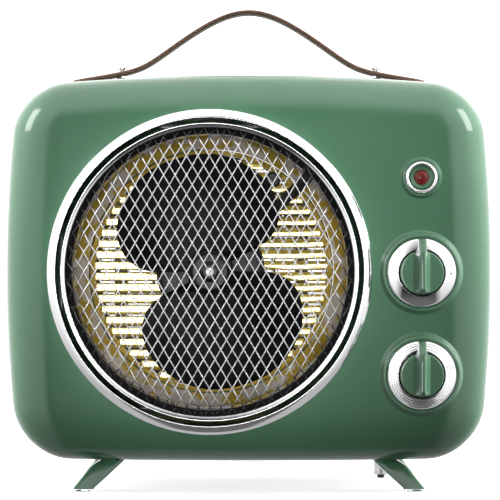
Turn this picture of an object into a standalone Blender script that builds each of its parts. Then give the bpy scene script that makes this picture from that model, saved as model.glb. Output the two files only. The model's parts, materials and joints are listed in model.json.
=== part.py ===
"""Retro fan heater with a ceramic (PTC) element: the design, in metres, +Z up.

The heater faces -Y and stands on z = 0. X runs to its right as seen from the front.
Every turned part about a front-to-back axis is a profile of (radius, reach) points,
where reach is counted forwards from the part's own reference plane.
"""

import math

import bmesh
import bpy
from mathutils import Matrix, Vector

# ---------------------------------------------------------------- driving dimensions
GAP = 0.0003                    # air between parts that touch
WALL = 0.0012                   # casing wall

BODY_HALF_WIDTH = 0.1300
BODY_HALF_HEIGHT = 0.1036
BODY_MID_Z = 0.1191             # middle of the casing above the floor
TOP_CORNER = 0.0268             # corner radii seen from the front
BASE_CORNER = 0.0298
FACE_FILLET = 0.0220            # rounding between the front face and the sides
BACK_FILLET = 0.0200
SIDE_BOW = 0.0485               # share by which the sides draw in at the top and base
TOP_BOW = 0.0586                # share by which the top drops at its ends
BASE_BOW = 0.0154

FACE_Y = -0.0680                # front face
SEAM_Y = 0.0530                 # where the rear cover meets the casing
BACK_Y = 0.0765                 # rear face

FAN_X = -0.0207                 # air outlet, fan and heating element share this axis
FAN_Z = 0.1172
MOUTH_RADIUS = 0.0826

CONTROL_X = 0.0915              # lamp and knobs stand in one column
LAMP_Z = 0.1672
SELECTOR_Z = 0.1168
THERMOSTAT_Z = 0.0627

STUD_X = 0.0708                 # strap studs, either side of the middle
STRAP_END_X = 0.0974
STRAP_WIDTH = 0.0150
STRAP_THICKNESS = 0.0018
STRAP_TOP_Z = 0.2610            # where the two flanks of the strap would meet at its crest
STRAP_FLANK_SLOPE = 0.93
STRAP_CREST_RADIUS = 0.0309
STRAP_SEAT_Z = 0.2264           # line of the strap's tongue at a stud
STRAP_SEAT_SLOPE = 0.150
STRAP_BLEND = 0.0060            # how softly a flank runs out into its tongue

FOOT_X = 0.0745                 # middle of a foot where it meets the casing
FOOT_SPLAY = 0.0140             # sideways reach of a foot on its way down
FOOT_STRIDE = 0.0080            # forward or backward reach of a foot
FOOT_Y = 0.0420
FOOT_TOP_RADIUS = 0.0066
FOOT_BASE_RADIUS = 0.0054

TIP_SWITCH_X = 0.0745
TIP_SWITCH_Y = 0.0270

FAN_TIP_RADIUS = 0.0633
FAN_MID_Y = -0.0495
SHAFT_RADIUS = 0.0020
RIB_PLATE_Y = -0.0120           # front of the ribbed plate
RIB_PLATE_RADIUS = 0.0667
RIB_PITCH = 0.0060

SCREW_RADIUS = 0.0016
SCREW_HEAD_RADIUS = 0.0035

ROUND_STEPS = 32                # facets on large turned parts
SMALL_STEPS = 16                # facets on small ones
TINY_STEPS = 12                 # facets on pins and bushes
HOLE_STEPS = 8                  # facets on screw and stud holes
MERGE = 0.00001

UPRIGHT = (0.0, 0.0, 0.0)
FACING_FRONT = (math.radians(90.0), 0.0, 0.0)   # turns local +Z to the front, -Y
FACING_BACK = (math.radians(-90.0), 0.0, 0.0)
SIDES = {-1.0: "left", 1.0: "right"}


# ---------------------------------------------------------------- scene and materials
def clear_scene():
    for obj in list(bpy.data.objects):
        bpy.data.objects.remove(obj)


def new_collection(name):
    collection = bpy.data.collections.new(name)
    bpy.context.scene.collection.children.link(collection)
    return collection


def make_material(name, colour, roughness, metallic=0.0):
    material = bpy.data.materials.new(name)
    material.use_nodes = True
    shader = material.node_tree.nodes["Principled BSDF"]
    shader.inputs["Base Color"].default_value = (*colour, 1.0)
    shader.inputs["Roughness"].default_value = roughness
    shader.inputs["Metallic"].default_value = metallic
    material.diffuse_color = (*colour, 1.0)
    return material


clear_scene()
PARTS = new_collection("ceramic_fan_heater")
CUTTERS = new_collection("cutters")

ENAMEL = make_material("green_enamel", (0.09, 0.26, 0.16), 0.15)
CHROME = make_material("chrome", (0.80, 0.80, 0.82), 0.06, 1.0)
GOLD = make_material("gold_anodised", (0.70, 0.55, 0.20), 0.22, 1.0)
BLACK_PLASTIC = make_material("black_plastic", (0.012, 0.012, 0.014), 0.35)
STEEL = make_material("zinc_steel", (0.55, 0.56, 0.58), 0.35, 1.0)
ALUMINIUM = make_material("aluminium", (0.75, 0.76, 0.78), 0.30, 1.0)
COPPER = make_material("copper_winding", (0.55, 0.24, 0.10), 0.40, 1.0)
BRONZE = make_material("sintered_bronze", (0.45, 0.30, 0.14), 0.50, 1.0)
CERAMIC = make_material("ceramic", (0.36, 0.33, 0.30), 0.70)
LEATHER = make_material("brown_leather", (0.10, 0.055, 0.035), 0.55)
RED_LENS = make_material("red_lens", (0.45, 0.01, 0.01), 0.10)
CREAM_PLASTIC = make_material("cream_plastic", (0.70, 0.66, 0.56), 0.45)


# ---------------------------------------------------------------- modelling helpers
def finish_object(name, data, material, location=UPRIGHT, rotation=UPRIGHT, parent=None):
    """Puts data in the scene as a part, or as a hidden cutter where material is None."""
    obj = bpy.data.objects.new(name, data)
    obj.location = location
    obj.rotation_euler = rotation
    obj.parent = parent
    if material is None:
        CUTTERS.objects.link(obj)
        obj.hide_render = True
        obj.display_type = "WIRE"
    else:
        PARTS.objects.link(obj)
        data.materials.append(material)
    return obj


def mesh_from(bm, name, smooth=True):
    bmesh.ops.recalc_face_normals(bm, faces=bm.faces)
    mesh = bpy.data.meshes.new(name)
    bm.to_mesh(mesh)
    bm.free()
    if smooth:
        mesh.shade_smooth()
        mesh.set_sharp_from_angle(angle=math.radians(35.0))
    return mesh


def box(name, size, material, location, parent=None):
    """A block of that size, centred on location."""
    bm = bmesh.new()
    bmesh.ops.create_cube(bm, size=1.0)
    bmesh.ops.scale(bm, vec=Vector(size), verts=bm.verts)
    return finish_object(name, mesh_from(bm, name, smooth=False), material, location, parent=parent)


def cylinder(name, radius, length, material, location, rotation=UPRIGHT, parent=None, steps=SMALL_STEPS):
    """A rod of that length, centred on location, along local Z."""
    bm = bmesh.new()
    bmesh.ops.create_cone(
        bm, cap_ends=True, segments=steps, radius1=radius, radius2=radius, depth=length
    )
    return finish_object(name, mesh_from(bm, name), material, location, rotation, parent)


def turned(name, profile, material, location, rotation=FACING_FRONT, parent=None, steps=ROUND_STEPS):
    """A profile of (radius, reach) points turned about local Z.

    The points run down the outer side first. A profile that touches the axis is left
    open there, and any other is closed into a ring.
    """
    bm = bmesh.new()
    verts = [bm.verts.new((radius, 0.0, reach)) for radius, reach in profile]
    for first, second in zip(verts, verts[1:]):
        bm.edges.new((first, second))
    if profile[0][0] > 0.0 or profile[-1][0] > 0.0:
        bm.edges.new((verts[-1], verts[0]))
    mesh = bpy.data.meshes.new(name)
    bm.to_mesh(mesh)
    bm.free()
    obj = finish_object(name, mesh, material, location, rotation, parent)
    screw = obj.modifiers.new("Turn", "SCREW")
    screw.steps = steps
    screw.render_steps = steps
    screw.use_merge_vertices = True
    screw.merge_threshold = MERGE
    return obj


def tube(name, points, radius, material, resolution=2, location=UPRIGHT, parent=None):
    """A round wire of that radius through points."""
    curve = bpy.data.curves.new(name, "CURVE")
    curve.dimensions = "3D"
    curve.bevel_depth = radius
    curve.bevel_resolution = resolution
    curve.use_fill_caps = True
    spline = curve.splines.new("POLY")
    spline.points.add(len(points) - 1)
    for target, point in zip(spline.points, points):
        target.co = (*point, 1.0)
    return finish_object(name, curve, material, location, parent=parent)


def boolean(target, tool, operation):
    modifier = target.modifiers.new(f"{operation.title()} {tool.name}", "BOOLEAN")
    modifier.operation = operation
    modifier.object = tool


def cut(target, cutter):
    boolean(target, cutter, "DIFFERENCE")


def join(target, other):
    boolean(target, other, "UNION")


def add_bevel(obj, width, segments=2):
    bevel = obj.modifiers.new("Round edges", "BEVEL")
    bevel.width = width
    bevel.segments = segments
    bevel.limit_method = "ANGLE"
    bevel.angle_limit = math.radians(50.0)
    return bevel


def axis_empty(name, location):
    """An empty on a joint's axis, which the moving parts hang from."""
    empty = bpy.data.objects.new(name, None)
    empty.location = location
    PARTS.objects.link(empty)
    return empty


def arc_points(centre, radius, start, end, count):
    """Points along an arc from start to end, in degrees, both ends included."""
    angles = [math.radians(start + (end - start) * i / count) for i in range(count + 1)]
    return [(centre[0] + radius * math.cos(a), centre[1] + radius * math.sin(a)) for a in angles]


# ---------------------------------------------------------------- casing and rear cover
def bowed(x, z):
    """Moves a point of the plain rounded rectangle onto the bulging outline."""
    vertical = TOP_BOW if z > 0.0 else BASE_BOW
    across = x * (1.0 - SIDE_BOW * (z / BODY_HALF_HEIGHT) ** 2)
    up = z * (1.0 - vertical * (x / BODY_HALF_WIDTH) ** 2)
    return across, up


def body_outline():
    """The outline seen from the front, about the body's middle."""
    edge_pieces = 4
    corner_pieces = 4
    plain = []
    for quarter, radius in enumerate((TOP_CORNER, TOP_CORNER, BASE_CORNER, BASE_CORNER)):
        start = 90.0 * quarter
        x = (BODY_HALF_WIDTH - radius) * (1.0 if quarter in (0, 3) else -1.0)
        z = (BODY_HALF_HEIGHT - radius) * (1.0 if quarter in (0, 1) else -1.0)
        plain.append(arc_points((x, z), radius, start, start + 90.0, corner_pieces))
    outline = []
    for quarter, corner in enumerate(plain):
        following = plain[(quarter + 1) % 4][0]
        outline.extend(corner)
        for piece in range(1, edge_pieces):
            share = piece / edge_pieces
            x = corner[-1][0] + (following[0] - corner[-1][0]) * share
            z = corner[-1][1] + (following[1] - corner[-1][1]) * share
            outline.append((x, z))
    return [bowed(x, z) for x, z in outline]


def shell(name, open_y, closed_y, fillet):
    """A dish with the body's outline, open at open_y and rounded into its face at closed_y."""
    bm = bmesh.new()
    face = bm.faces.new([bm.verts.new((x, closed_y, z)) for x, z in body_outline()])
    walls = bmesh.ops.extrude_edge_only(bm, edges=face.edges)
    moved = [item for item in walls["geom"] if isinstance(item, bmesh.types.BMVert)]
    bmesh.ops.translate(bm, verts=moved, vec=(0.0, open_y - closed_y, 0.0))
    bmesh.ops.recalc_face_normals(bm, faces=bm.faces)
    bm.normal_update()
    if (face.normal.y > 0.0) != (closed_y > open_y):
        bmesh.ops.reverse_faces(bm, faces=bm.faces)
    mesh = bpy.data.meshes.new(name)
    bm.to_mesh(mesh)
    bm.free()
    mesh.shade_smooth()
    obj = finish_object(name, mesh, ENAMEL, (0.0, 0.0, BODY_MID_Z))
    add_bevel(obj, fillet, segments=3)
    solidify = obj.modifiers.new("Wall", "SOLIDIFY")
    solidify.thickness = WALL
    solidify.offset = -1.0
    return obj


SCREW_SPOTS = {
    "top_right": (0.1035, 0.0745),
    "top_left": (-0.1035, 0.0745),
    "base_left": (-0.1035, -0.0760),
    "base_right": (0.1035, -0.0760),
}
POST_RADIUS = 0.0055
POST_FRONT_Y = FACE_Y + 0.0008   # within the face's wall
WELL_RADIUS = 0.0085
WELL_FLOOR_Y = SEAM_Y + 0.0050
WELL_BACK_Y = BACK_Y - 0.0010    # within the rear wall
SCREW_LENGTH = 0.0160


def raised_collar(name, z, radius, width, height):
    """A rounded ring pressed up out of the casing round a control."""
    inner = radius - width
    profile = [
        (radius, -0.001),
        (radius - 0.25 * width, 0.70 * height),
        (radius - 0.65 * width, height),
        (inner, 0.85 * height),
        (inner, -0.001),
    ]
    return turned(name, profile, None, (CONTROL_X, FACE_Y, z), steps=24)


def drill(target, name, radius, length, location, rotation=FACING_FRONT, steps=SMALL_STEPS):
    """A round hole of that length, centred on location."""
    cut(target, cylinder(name, radius, length, None, location, rotation, steps=steps))


def post(target, name, radius, x, z, start_y, end_y):
    """A solid boss from start_y to end_y, made one with target."""
    middle = (x, (start_y + end_y) / 2, z)
    length = abs(end_y - start_y)
    join(target, cylinder(name, radius, length, None, middle, FACING_FRONT, steps=TINY_STEPS))


def build_casing():
    casing = shell("front_casing", SEAM_Y, FACE_Y, FACE_FILLET)
    join(casing, raised_collar("lamp_collar", LAMP_Z, 0.0115, 0.0018, 0.0022))
    join(casing, raised_collar("selector_collar", SELECTOR_Z, 0.0222, 0.0034, 0.0030))
    join(casing, raised_collar("thermostat_collar", THERMOSTAT_Z, 0.0222, 0.0034, 0.0030))
    for spot, (x, up) in SCREW_SPOTS.items():
        z = BODY_MID_Z + up
        post(casing, f"post_{spot}", POST_RADIUS, x, z, POST_FRONT_Y, SEAM_Y - GAP / 2)
        mouth = (x, SEAM_Y, z)
        drill(casing, f"post_bore_{spot}", SCREW_RADIUS + GAP, 2 * SCREW_LENGTH, mouth, steps=HOLE_STEPS)
    drill(casing, "mouth", MOUTH_RADIUS, 0.020, (FAN_X, FACE_Y, FAN_Z), steps=ROUND_STEPS)
    drill(casing, "selector_hole", BUSH_RADIUS + GAP, 0.012, (CONTROL_X, FACE_Y, SELECTOR_Z))
    drill(casing, "thermostat_hole", BUSH_RADIUS + GAP, 0.012, (CONTROL_X, FACE_Y, THERMOSTAT_Z))
    drill(casing, "lamp_hole", LENS_RADIUS + GAP, 0.012, (CONTROL_X, FACE_Y, LAMP_Z))
    for side, name in SIDES.items():
        top = (side * STUD_X, 0.0, BODY_MID_Z + BODY_HALF_HEIGHT)
        drill(casing, f"stud_hole_{name}", STUD_RADIUS + 2 * GAP, 0.016, top, UPRIGHT, steps=HOLE_STEPS)
    base = (TIP_SWITCH_X, TIP_SWITCH_Y, BODY_MID_Z - BODY_HALF_HEIGHT)
    drill(casing, "tip_switch_hole", TIP_TUBE_RADIUS + GAP, 0.012, base, UPRIGHT)


def build_rear_cover():
    seam = SEAM_Y + GAP
    cover = shell("rear_cover", seam, BACK_Y, BACK_FILLET)
    for spot, (x, up) in SCREW_SPOTS.items():
        z = BODY_MID_Z + up
        post(cover, f"well_{spot}", WELL_RADIUS, x, z, seam + GAP / 2, WELL_BACK_Y)
        well_length = 0.040
        well_middle = (x, WELL_FLOOR_Y + well_length / 2, z)
        head_room = SCREW_HEAD_RADIUS + 2 * GAP
        drill(cover, f"well_bore_{spot}", head_room, well_length, well_middle, steps=TINY_STEPS)
        floor = (x, WELL_FLOOR_Y, z)
        drill(cover, f"well_hole_{spot}", SCREW_RADIUS + GAP, 0.020, floor, steps=HOLE_STEPS)
    drill(cover, "intake", INTAKE_RADIUS, 0.012, (FAN_X, BACK_Y, FAN_Z), steps=ROUND_STEPS)
    drill(cover, "gland_hole", GLAND_NECK_RADIUS + GAP, 0.012, (GLAND_X, BACK_Y, GLAND_Z))


def build_cover_screws():
    """Pan-head screws: head on the well's floor, point in the casing's post."""
    head = 0.0025
    profile = [
        (0.0, head),
        (SCREW_HEAD_RADIUS * 0.6, head),
        (SCREW_HEAD_RADIUS, head * 0.6),
        (SCREW_HEAD_RADIUS, 0.0),
        (SCREW_RADIUS, 0.0),
        (SCREW_RADIUS, -SCREW_LENGTH + 0.002),
        (SCREW_RADIUS * 0.5, -SCREW_LENGTH),
        (0.0, -SCREW_LENGTH),
    ]
    for spot, (x, up) in SCREW_SPOTS.items():
        place = (x, WELL_FLOOR_Y + GAP, BODY_MID_Z + up)
        turned(f"cover_screw_{spot}", profile, STEEL, place, FACING_BACK, steps=TINY_STEPS)


# ---------------------------------------------------------------- air outlet
RING_OUTER = 0.0863
SKIRT_INNER = 0.0806
CLAMP_OUTER = SKIRT_INNER - GAP
CLAMP_INNER = 0.0764
MESH_RADIUS = 0.0750
MESH_RIM_REACH = -0.0038
MESH_CROWN = 0.0155             # height of the mesh pan over its rim
MESH_SHARPNESS = 12.0           # high values keep the middle flat and the edge round
MESH_WIRE = 0.0012
MESH_SLOPE = math.radians(59.5)
MESH_SPACING = 0.0135           # between parallel wires


def build_outlet_trim():
    bezel = [
        (0.0845, 0.0052),
        (RING_OUTER, 0.0030),
        (RING_OUTER, GAP),
        (MOUTH_RADIUS - GAP, GAP),
        (MOUTH_RADIUS - GAP, -0.0090),
        (SKIRT_INNER, -0.0090),
        (SKIRT_INNER, 0.0010),
        (0.0822, 0.0050),
    ]
    turned("outlet_bezel", bezel, CHROME, (FAN_X, FACE_Y, FAN_Z))
    clamp = [
        (0.0786, 0.0020),
        (CLAMP_OUTER, 0.0),
        (CLAMP_OUTER, -0.0060),
        (0.0735, -0.0060),
        (0.0735, -0.0048),
        (CLAMP_INNER, -0.0048),
        (CLAMP_INNER, 0.0008),
    ]
    turned("mesh_clamp_ring", clamp, CHROME, (FAN_X, FACE_Y, FAN_Z))


def mesh_reach(radius):
    """How far forward of the face the mesh pan lies at that radius."""
    share = min(1.0, radius / MESH_RADIUS)
    return MESH_RIM_REACH + MESH_CROWN * math.sqrt(max(0.0, 1.0 - share**MESH_SHARPNESS))


def build_mesh_grille():
    """Two families of crossing wires, pressed into a pan, as one open lattice."""
    bm = bmesh.new()
    bmesh.ops.create_circle(bm, cap_ends=True, segments=ROUND_STEPS, radius=MESH_RADIUS)
    lines = int(MESH_RADIUS / MESH_SPACING)
    for side in (-1.0, 1.0):
        across = Vector((math.sin(MESH_SLOPE), side * math.cos(MESH_SLOPE), 0.0))
        for line in range(-lines, lines + 1):
            bmesh.ops.bisect_plane(
                bm,
                geom=bm.verts[:] + bm.edges[:] + bm.faces[:],
                dist=MERGE,
                plane_co=across * MESH_SPACING * (line + 0.37),
                plane_no=across,
            )
    bmesh.ops.remove_doubles(bm, verts=bm.verts, dist=0.0022)
    for vert in bm.verts:
        vert.co.z = mesh_reach(vert.co.xy.length)
    mesh = mesh_from(bm, "mesh_grille")
    grille = finish_object("mesh_grille", mesh, CHROME, (FAN_X, FACE_Y, FAN_Z), FACING_FRONT)
    lattice = grille.modifiers.new("Wires", "WIREFRAME")
    lattice.thickness = MESH_WIRE
    lattice.offset = 0.0
    lattice.use_boundary = True
    lattice.use_even_offset = False


# ---------------------------------------------------------------- duct and heating element
DUCT_INNER = 0.0750
DUCT_OUTER = 0.0772
DUCT_FRONT_REACH = -0.0063
DUCT_DEPTH = 0.0720
LEAD_ANGLE = math.radians(44.0)
LEAD_RADIUS = 0.0031
LEAD_Y = -0.0265
RIB_THICKNESS = 0.0030
RIB_SLOT = 0.0012


def build_duct():
    profile = [
        (DUCT_OUTER, DUCT_FRONT_REACH),
        (DUCT_OUTER, DUCT_FRONT_REACH - DUCT_DEPTH),
        (DUCT_INNER, DUCT_FRONT_REACH - DUCT_DEPTH),
        (DUCT_INNER, DUCT_FRONT_REACH),
    ]
    duct = turned("air_duct", profile, BLACK_PLASTIC, (FAN_X, FACE_Y, FAN_Z))
    out = Vector((math.cos(LEAD_ANGLE), 0.0, math.sin(LEAD_ANGLE)))
    hole = Vector((FAN_X, LEAD_Y, FAN_Z)) + out * DUCT_INNER
    slant = out.to_track_quat("Z", "Y").to_euler()
    drill(duct, "lead_hole", LEAD_RADIUS + 0.0008, 0.012, hole, slant)
    flare = [
        (0.0744, 0.0105),
        (0.0747, 0.0100),
        (0.0747, 0.0075),
        (0.0684, 0.0000),
        (0.0672, 0.0000),
        (0.0672, 0.0008),
    ]
    turned("reflector_ring", flare, ALUMINIUM, (FAN_X, RIB_PLATE_Y, FAN_Z))


def slotted_disc(name, radius, rim, thickness, pitch, slot_height, material, place):
    """A disc cut into level ribs that stay joined at its rim."""
    disc = cylinder(name, radius, thickness, material, place, FACING_FRONT, steps=ROUND_STEPS)
    inside = radius - rim
    bm = bmesh.new()
    count = int(inside / pitch)
    for line in range(-count, count + 1):
        height = line * pitch
        half_chord = math.sqrt(inside**2 - (abs(height) + slot_height / 2) ** 2) - rim / 2
        slot = bmesh.ops.create_cube(bm, size=1.0)["verts"]
        bmesh.ops.scale(bm, vec=(2 * half_chord, 3 * thickness, slot_height), verts=slot)
        bmesh.ops.translate(bm, vec=(0.0, 0.0, height), verts=slot)
    slots = finish_object(f"{name}_slots", mesh_from(bm, f"{name}_slots", smooth=False), None, place)
    cut(disc, slots)
    return disc


def build_rib_plate():
    """The gold face of the element, through which the fan draws the warm air."""
    place = (FAN_X, RIB_PLATE_Y + RIB_THICKNESS / 2, FAN_Z)
    slotted_disc("rib_plate", RIB_PLATE_RADIUS, 0.0022, RIB_THICKNESS, RIB_PITCH, RIB_SLOT, GOLD, place)


CORE_FRONT_Y = RIB_PLATE_Y + RIB_THICKNESS + GAP
CORE_DEPTH = 0.0160
CORE_LENGTH = 0.0920
FIN_HEIGHT = 0.0235
FIN_STRIP = 0.0007
FIN_FOLDS = 15
PTC_HEIGHT = 0.0035
HOLDER_WIDTH = 0.0070


def build_fin_pack(name, middle_z):
    """A concertina of aluminium strip that carries the heat of the ceramic bars to the air."""
    fold_pitch = CORE_LENGTH / FIN_FOLDS
    half_fold = fold_pitch * 0.30
    half_height = FIN_HEIGHT / 2 - FIN_STRIP
    bm = bmesh.new()
    row = []
    for fold in range(FIN_FOLDS):
        x = -CORE_LENGTH / 2 + (fold + 0.5) * fold_pitch
        height = half_height if fold % 2 else -half_height
        row.append(bm.verts.new((x - half_fold, 0.0, height)))
        row.append(bm.verts.new((x + half_fold, 0.0, height)))
    edges = [bm.edges.new(pair) for pair in zip(row, row[1:])]
    swept = bmesh.ops.extrude_edge_only(bm, edges=edges)
    moved = [item for item in swept["geom"] if isinstance(item, bmesh.types.BMVert)]
    bmesh.ops.translate(bm, verts=moved, vec=(0.0, CORE_DEPTH - 0.001, 0.0))
    mesh = mesh_from(bm, name, smooth=False)
    fins = finish_object(name, mesh, ALUMINIUM, (FAN_X, CORE_FRONT_Y + 0.0005, middle_z))
    solidify = fins.modifiers.new("Strip", "SOLIDIFY")
    solidify.thickness = FIN_STRIP
    solidify.offset = 0.0


def build_element():
    """Two ceramic bars between three fin packs, held at both ends."""
    middle_y = CORE_FRONT_Y + CORE_DEPTH / 2
    row_pitch = FIN_HEIGHT + PTC_HEIGHT + 2 * GAP
    for level, name in ((-1, "lower"), (0, "middle"), (1, "upper")):
        build_fin_pack(f"fin_pack_{name}", FAN_Z + level * row_pitch)
    for level, name in ((-0.5, "lower"), (0.5, "upper")):
        size = (CORE_LENGTH, CORE_DEPTH, PTC_HEIGHT)
        box(f"ptc_bar_{name}", size, CERAMIC, (FAN_X, middle_y, FAN_Z + level * row_pitch))
    for side, name in SIDES.items():
        x = FAN_X + side * (CORE_LENGTH / 2 + GAP + HOLDER_WIDTH / 2)
        size = (HOLDER_WIDTH, CORE_DEPTH, 3 * FIN_HEIGHT + 2 * PTC_HEIGHT)
        holder = box(f"element_holder_{name}", size, BLACK_PLASTIC, (x, middle_y, FAN_Z))
        add_bevel(holder, 0.0010)


# ---------------------------------------------------------------- fan and motor
BOSS_RADIUS = 0.0125
BOSS_LENGTH = 0.0200
BLADE_THICKNESS = 0.0018
BLADE_ANGLE = math.radians(103.5)    # middle of the first paddle at rest
BLADE_HALF_SPAN = math.radians(77.0)
BLADE_LEAD = 0.0072                  # reach gained for each radian of sweep
BLADE_ROOT = 0.0095
BLADE_SHOULDER = 0.0240              # radius where the paddle starts to narrow

CUP_RADIUS = 0.0295
CUP_WALL = 0.0012
MOTOR_FRONT_Y = -0.0350
MOTOR_BACK_Y = RIB_PLATE_Y - 0.0022
BEARING_RADIUS = 0.0050
BEARING_BORE = SHAFT_RADIUS + 0.0001
BEARING_LENGTH = 0.0030
ROTOR_RADIUS = 0.0128
ROTOR_Y = -0.0245
STATOR_Y = -0.0250


def fan_paddle(name, turn, axle):
    """A helical paddle: wide at the boss, round at the tip."""
    bm = bmesh.new()
    bmesh.ops.create_grid(bm, x_segments=6, y_segments=7, size=0.5)
    for vert in bm.verts:
        outwards = (vert.co.x + 0.5) * math.pi / 2
        swing = 2.0 * vert.co.y
        radius = BLADE_ROOT + (FAN_TIP_RADIUS - BLADE_ROOT) * math.sin(outwards)
        narrowing = max(0.0, (radius - BLADE_SHOULDER) / (FAN_TIP_RADIUS - BLADE_SHOULDER))
        half_angle = BLADE_HALF_SPAN * math.sqrt(1.0 - 0.965 * narrowing**2.3)
        angle = BLADE_ANGLE + turn + swing * half_angle
        reach = BLADE_LEAD * swing * half_angle
        vert.co = (radius * math.cos(angle), radius * math.sin(angle), reach)
    paddle = finish_object(name, mesh_from(bm, name), None, UPRIGHT, FACING_FRONT, axle)
    solidify = paddle.modifiers.new("Blade", "SOLIDIFY")
    solidify.thickness = BLADE_THICKNESS
    solidify.offset = 0.0
    return paddle


def build_fan(axle):
    """Two wide, pitched paddles on a boss."""
    profile = [
        (BOSS_RADIUS - 0.003, BOSS_LENGTH / 2),
        (BOSS_RADIUS, BOSS_LENGTH / 2 - 0.003),
        (BOSS_RADIUS, -BOSS_LENGTH / 2),
        (SHAFT_RADIUS + GAP, -BOSS_LENGTH / 2),
        (SHAFT_RADIUS + GAP, BOSS_LENGTH / 2),
    ]
    fan = turned("fan_impeller", profile, BLACK_PLASTIC, UPRIGHT, parent=axle, steps=24)
    join(fan, fan_paddle("paddle_first", 0.0, axle))
    join(fan, fan_paddle("paddle_second", math.pi, axle))


def build_shaft(axle):
    """The shaft, what turns with it in the motor, and the nut that holds the fan on it."""
    shaft_length = 0.0480
    shaft_middle_y = MOTOR_BACK_Y - 0.0002 - shaft_length / 2
    middle = (0.0, shaft_middle_y - FAN_MID_Y, 0.0)
    cylinder("motor_shaft", SHAFT_RADIUS, shaft_length, STEEL, middle, FACING_FRONT, axle, steps=TINY_STEPS)
    nut = [
        (0.0035, 0.0035),
        (0.0055, 0.0022),
        (0.0058, 0.0),
        (SHAFT_RADIUS + GAP, 0.0),
        (SHAFT_RADIUS + GAP, 0.0035),
    ]
    turned("fan_nut", nut, BLACK_PLASTIC, (0.0, -BOSS_LENGTH / 2 - GAP, 0.0), parent=axle, steps=TINY_STEPS)
    rotor = [
        (ROTOR_RADIUS, 0.0050),
        (ROTOR_RADIUS, -0.0050),
        (SHAFT_RADIUS + GAP, -0.0050),
        (SHAFT_RADIUS + GAP, 0.0050),
    ]
    turned("motor_rotor", rotor, STEEL, (0.0, ROTOR_Y - FAN_MID_Y, 0.0), parent=axle, steps=24)


def build_motor_case():
    rim = MOTOR_FRONT_Y - MOTOR_BACK_Y + GAP
    cup = [
        (CUP_RADIUS - 0.0030, 0.0),
        (CUP_RADIUS, -0.0030),
        (CUP_RADIUS, rim),
        (CUP_RADIUS - CUP_WALL, rim),
        (CUP_RADIUS - CUP_WALL, -0.0036),
        (CUP_RADIUS - 0.0035, -CUP_WALL),
        (BEARING_RADIUS + 0.0022, -CUP_WALL),
        (BEARING_RADIUS + 0.0022, -0.0042),
        (BEARING_RADIUS + GAP, -0.0042),
        (BEARING_RADIUS + GAP, -0.0008),
        (SHAFT_RADIUS + 0.0014, -0.0008),
        (SHAFT_RADIUS + 0.0014, 0.0),
    ]
    turned("motor_cup", cup, BLACK_PLASTIC, (FAN_X, MOTOR_FRONT_Y, FAN_Z), steps=24)
    plate = [
        (BEARING_RADIUS + 0.0020, 0.0046),
        (BEARING_RADIUS + 0.0020, 0.0018),
        (CUP_RADIUS, 0.0018),
        (CUP_RADIUS, 0.0),
        (SHAFT_RADIUS + 0.0014, 0.0),
        (SHAFT_RADIUS + 0.0014, 0.0012),
        (BEARING_RADIUS + GAP, 0.0012),
        (BEARING_RADIUS + GAP, 0.0046),
    ]
    turned("motor_back_plate", plate, STEEL, (FAN_X, MOTOR_BACK_Y + 0.0018, FAN_Z), steps=24)
    bearing = [
        (BEARING_RADIUS, BEARING_LENGTH),
        (BEARING_RADIUS, 0.0),
        (BEARING_BORE, 0.0),
        (BEARING_BORE, BEARING_LENGTH),
    ]
    front_y = MOTOR_FRONT_Y + 0.0008 + GAP + BEARING_LENGTH
    rear_y = MOTOR_BACK_Y + 0.0006 - GAP
    turned("bearing_front", bearing, BRONZE, (FAN_X, front_y, FAN_Z), steps=TINY_STEPS)
    turned("bearing_rear", bearing, BRONZE, (FAN_X, rear_y, FAN_Z), steps=TINY_STEPS)


def build_motor_windings():
    stator = [
        (CUP_RADIUS - CUP_WALL - GAP, 0.0045),
        (CUP_RADIUS - CUP_WALL - GAP, -0.0045),
        (ROTOR_RADIUS + 0.0006, -0.0045),
        (ROTOR_RADIUS + 0.0006, 0.0045),
    ]
    turned("motor_stator", stator, STEEL, (FAN_X, STATOR_Y, FAN_Z), steps=24)
    winding = [
        (0.0240, 0.0012),
        (0.0255, 0.0),
        (0.0240, -0.0012),
        (0.0175, -0.0012),
        (0.0160, 0.0),
        (0.0175, 0.0012),
    ]
    turned("motor_winding", winding, COPPER, (FAN_X, STATOR_Y + 0.0062, FAN_Z), steps=24)


TERMINAL_X = CONTROL_X
TERMINAL_Y = FACE_Y + 0.0345
TERMINAL_Z = 0.1420
TERMINAL_SIZE = (0.0300, 0.0150, 0.0120)


def smooth_route(points, pieces):
    """Points along one curve that passes through every given point."""
    padded = [points[0] * 2 - points[1], *points, points[-1] * 2 - points[-2]]
    route = []
    for before, first, second, after in zip(padded, padded[1:], padded[2:], padded[3:]):
        heading = second - before
        bend = before * 2 - first * 5 + second * 4 - after
        twist = (first - second) * 3 + after - before
        for piece in range(pieces):
            t = piece / pieces
            route.append(first + (heading * t + bend * t**2 + twist * t**3) / 2)
    route.append(points[-1])
    return route


def build_motor_lead():
    """The sleeved lead, from the motor's side through the duct to the terminal block."""
    out = Vector((math.cos(LEAD_ANGLE), 0.0, math.sin(LEAD_ANGLE)))
    centre = Vector((FAN_X, LEAD_Y, FAN_Z))
    top = Vector((TERMINAL_X, TERMINAL_Y, TERMINAL_Z + TERMINAL_SIZE[2] / 2 + GAP))
    points = [
        centre + out * (CUP_RADIUS + 0.0004),
        centre + out * 0.0500,
        centre + out * 0.0700,
        centre + out * 0.0860,
        Vector((0.0600, -0.0210, 0.1880)),
        Vector((0.0800, -0.0240, 0.1840)),
        Vector((0.0905, -0.0310, 0.1680)),
        top,
    ]
    tube("motor_lead", smooth_route(points, 2), LEAD_RADIUS, BLACK_PLASTIC)


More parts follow.
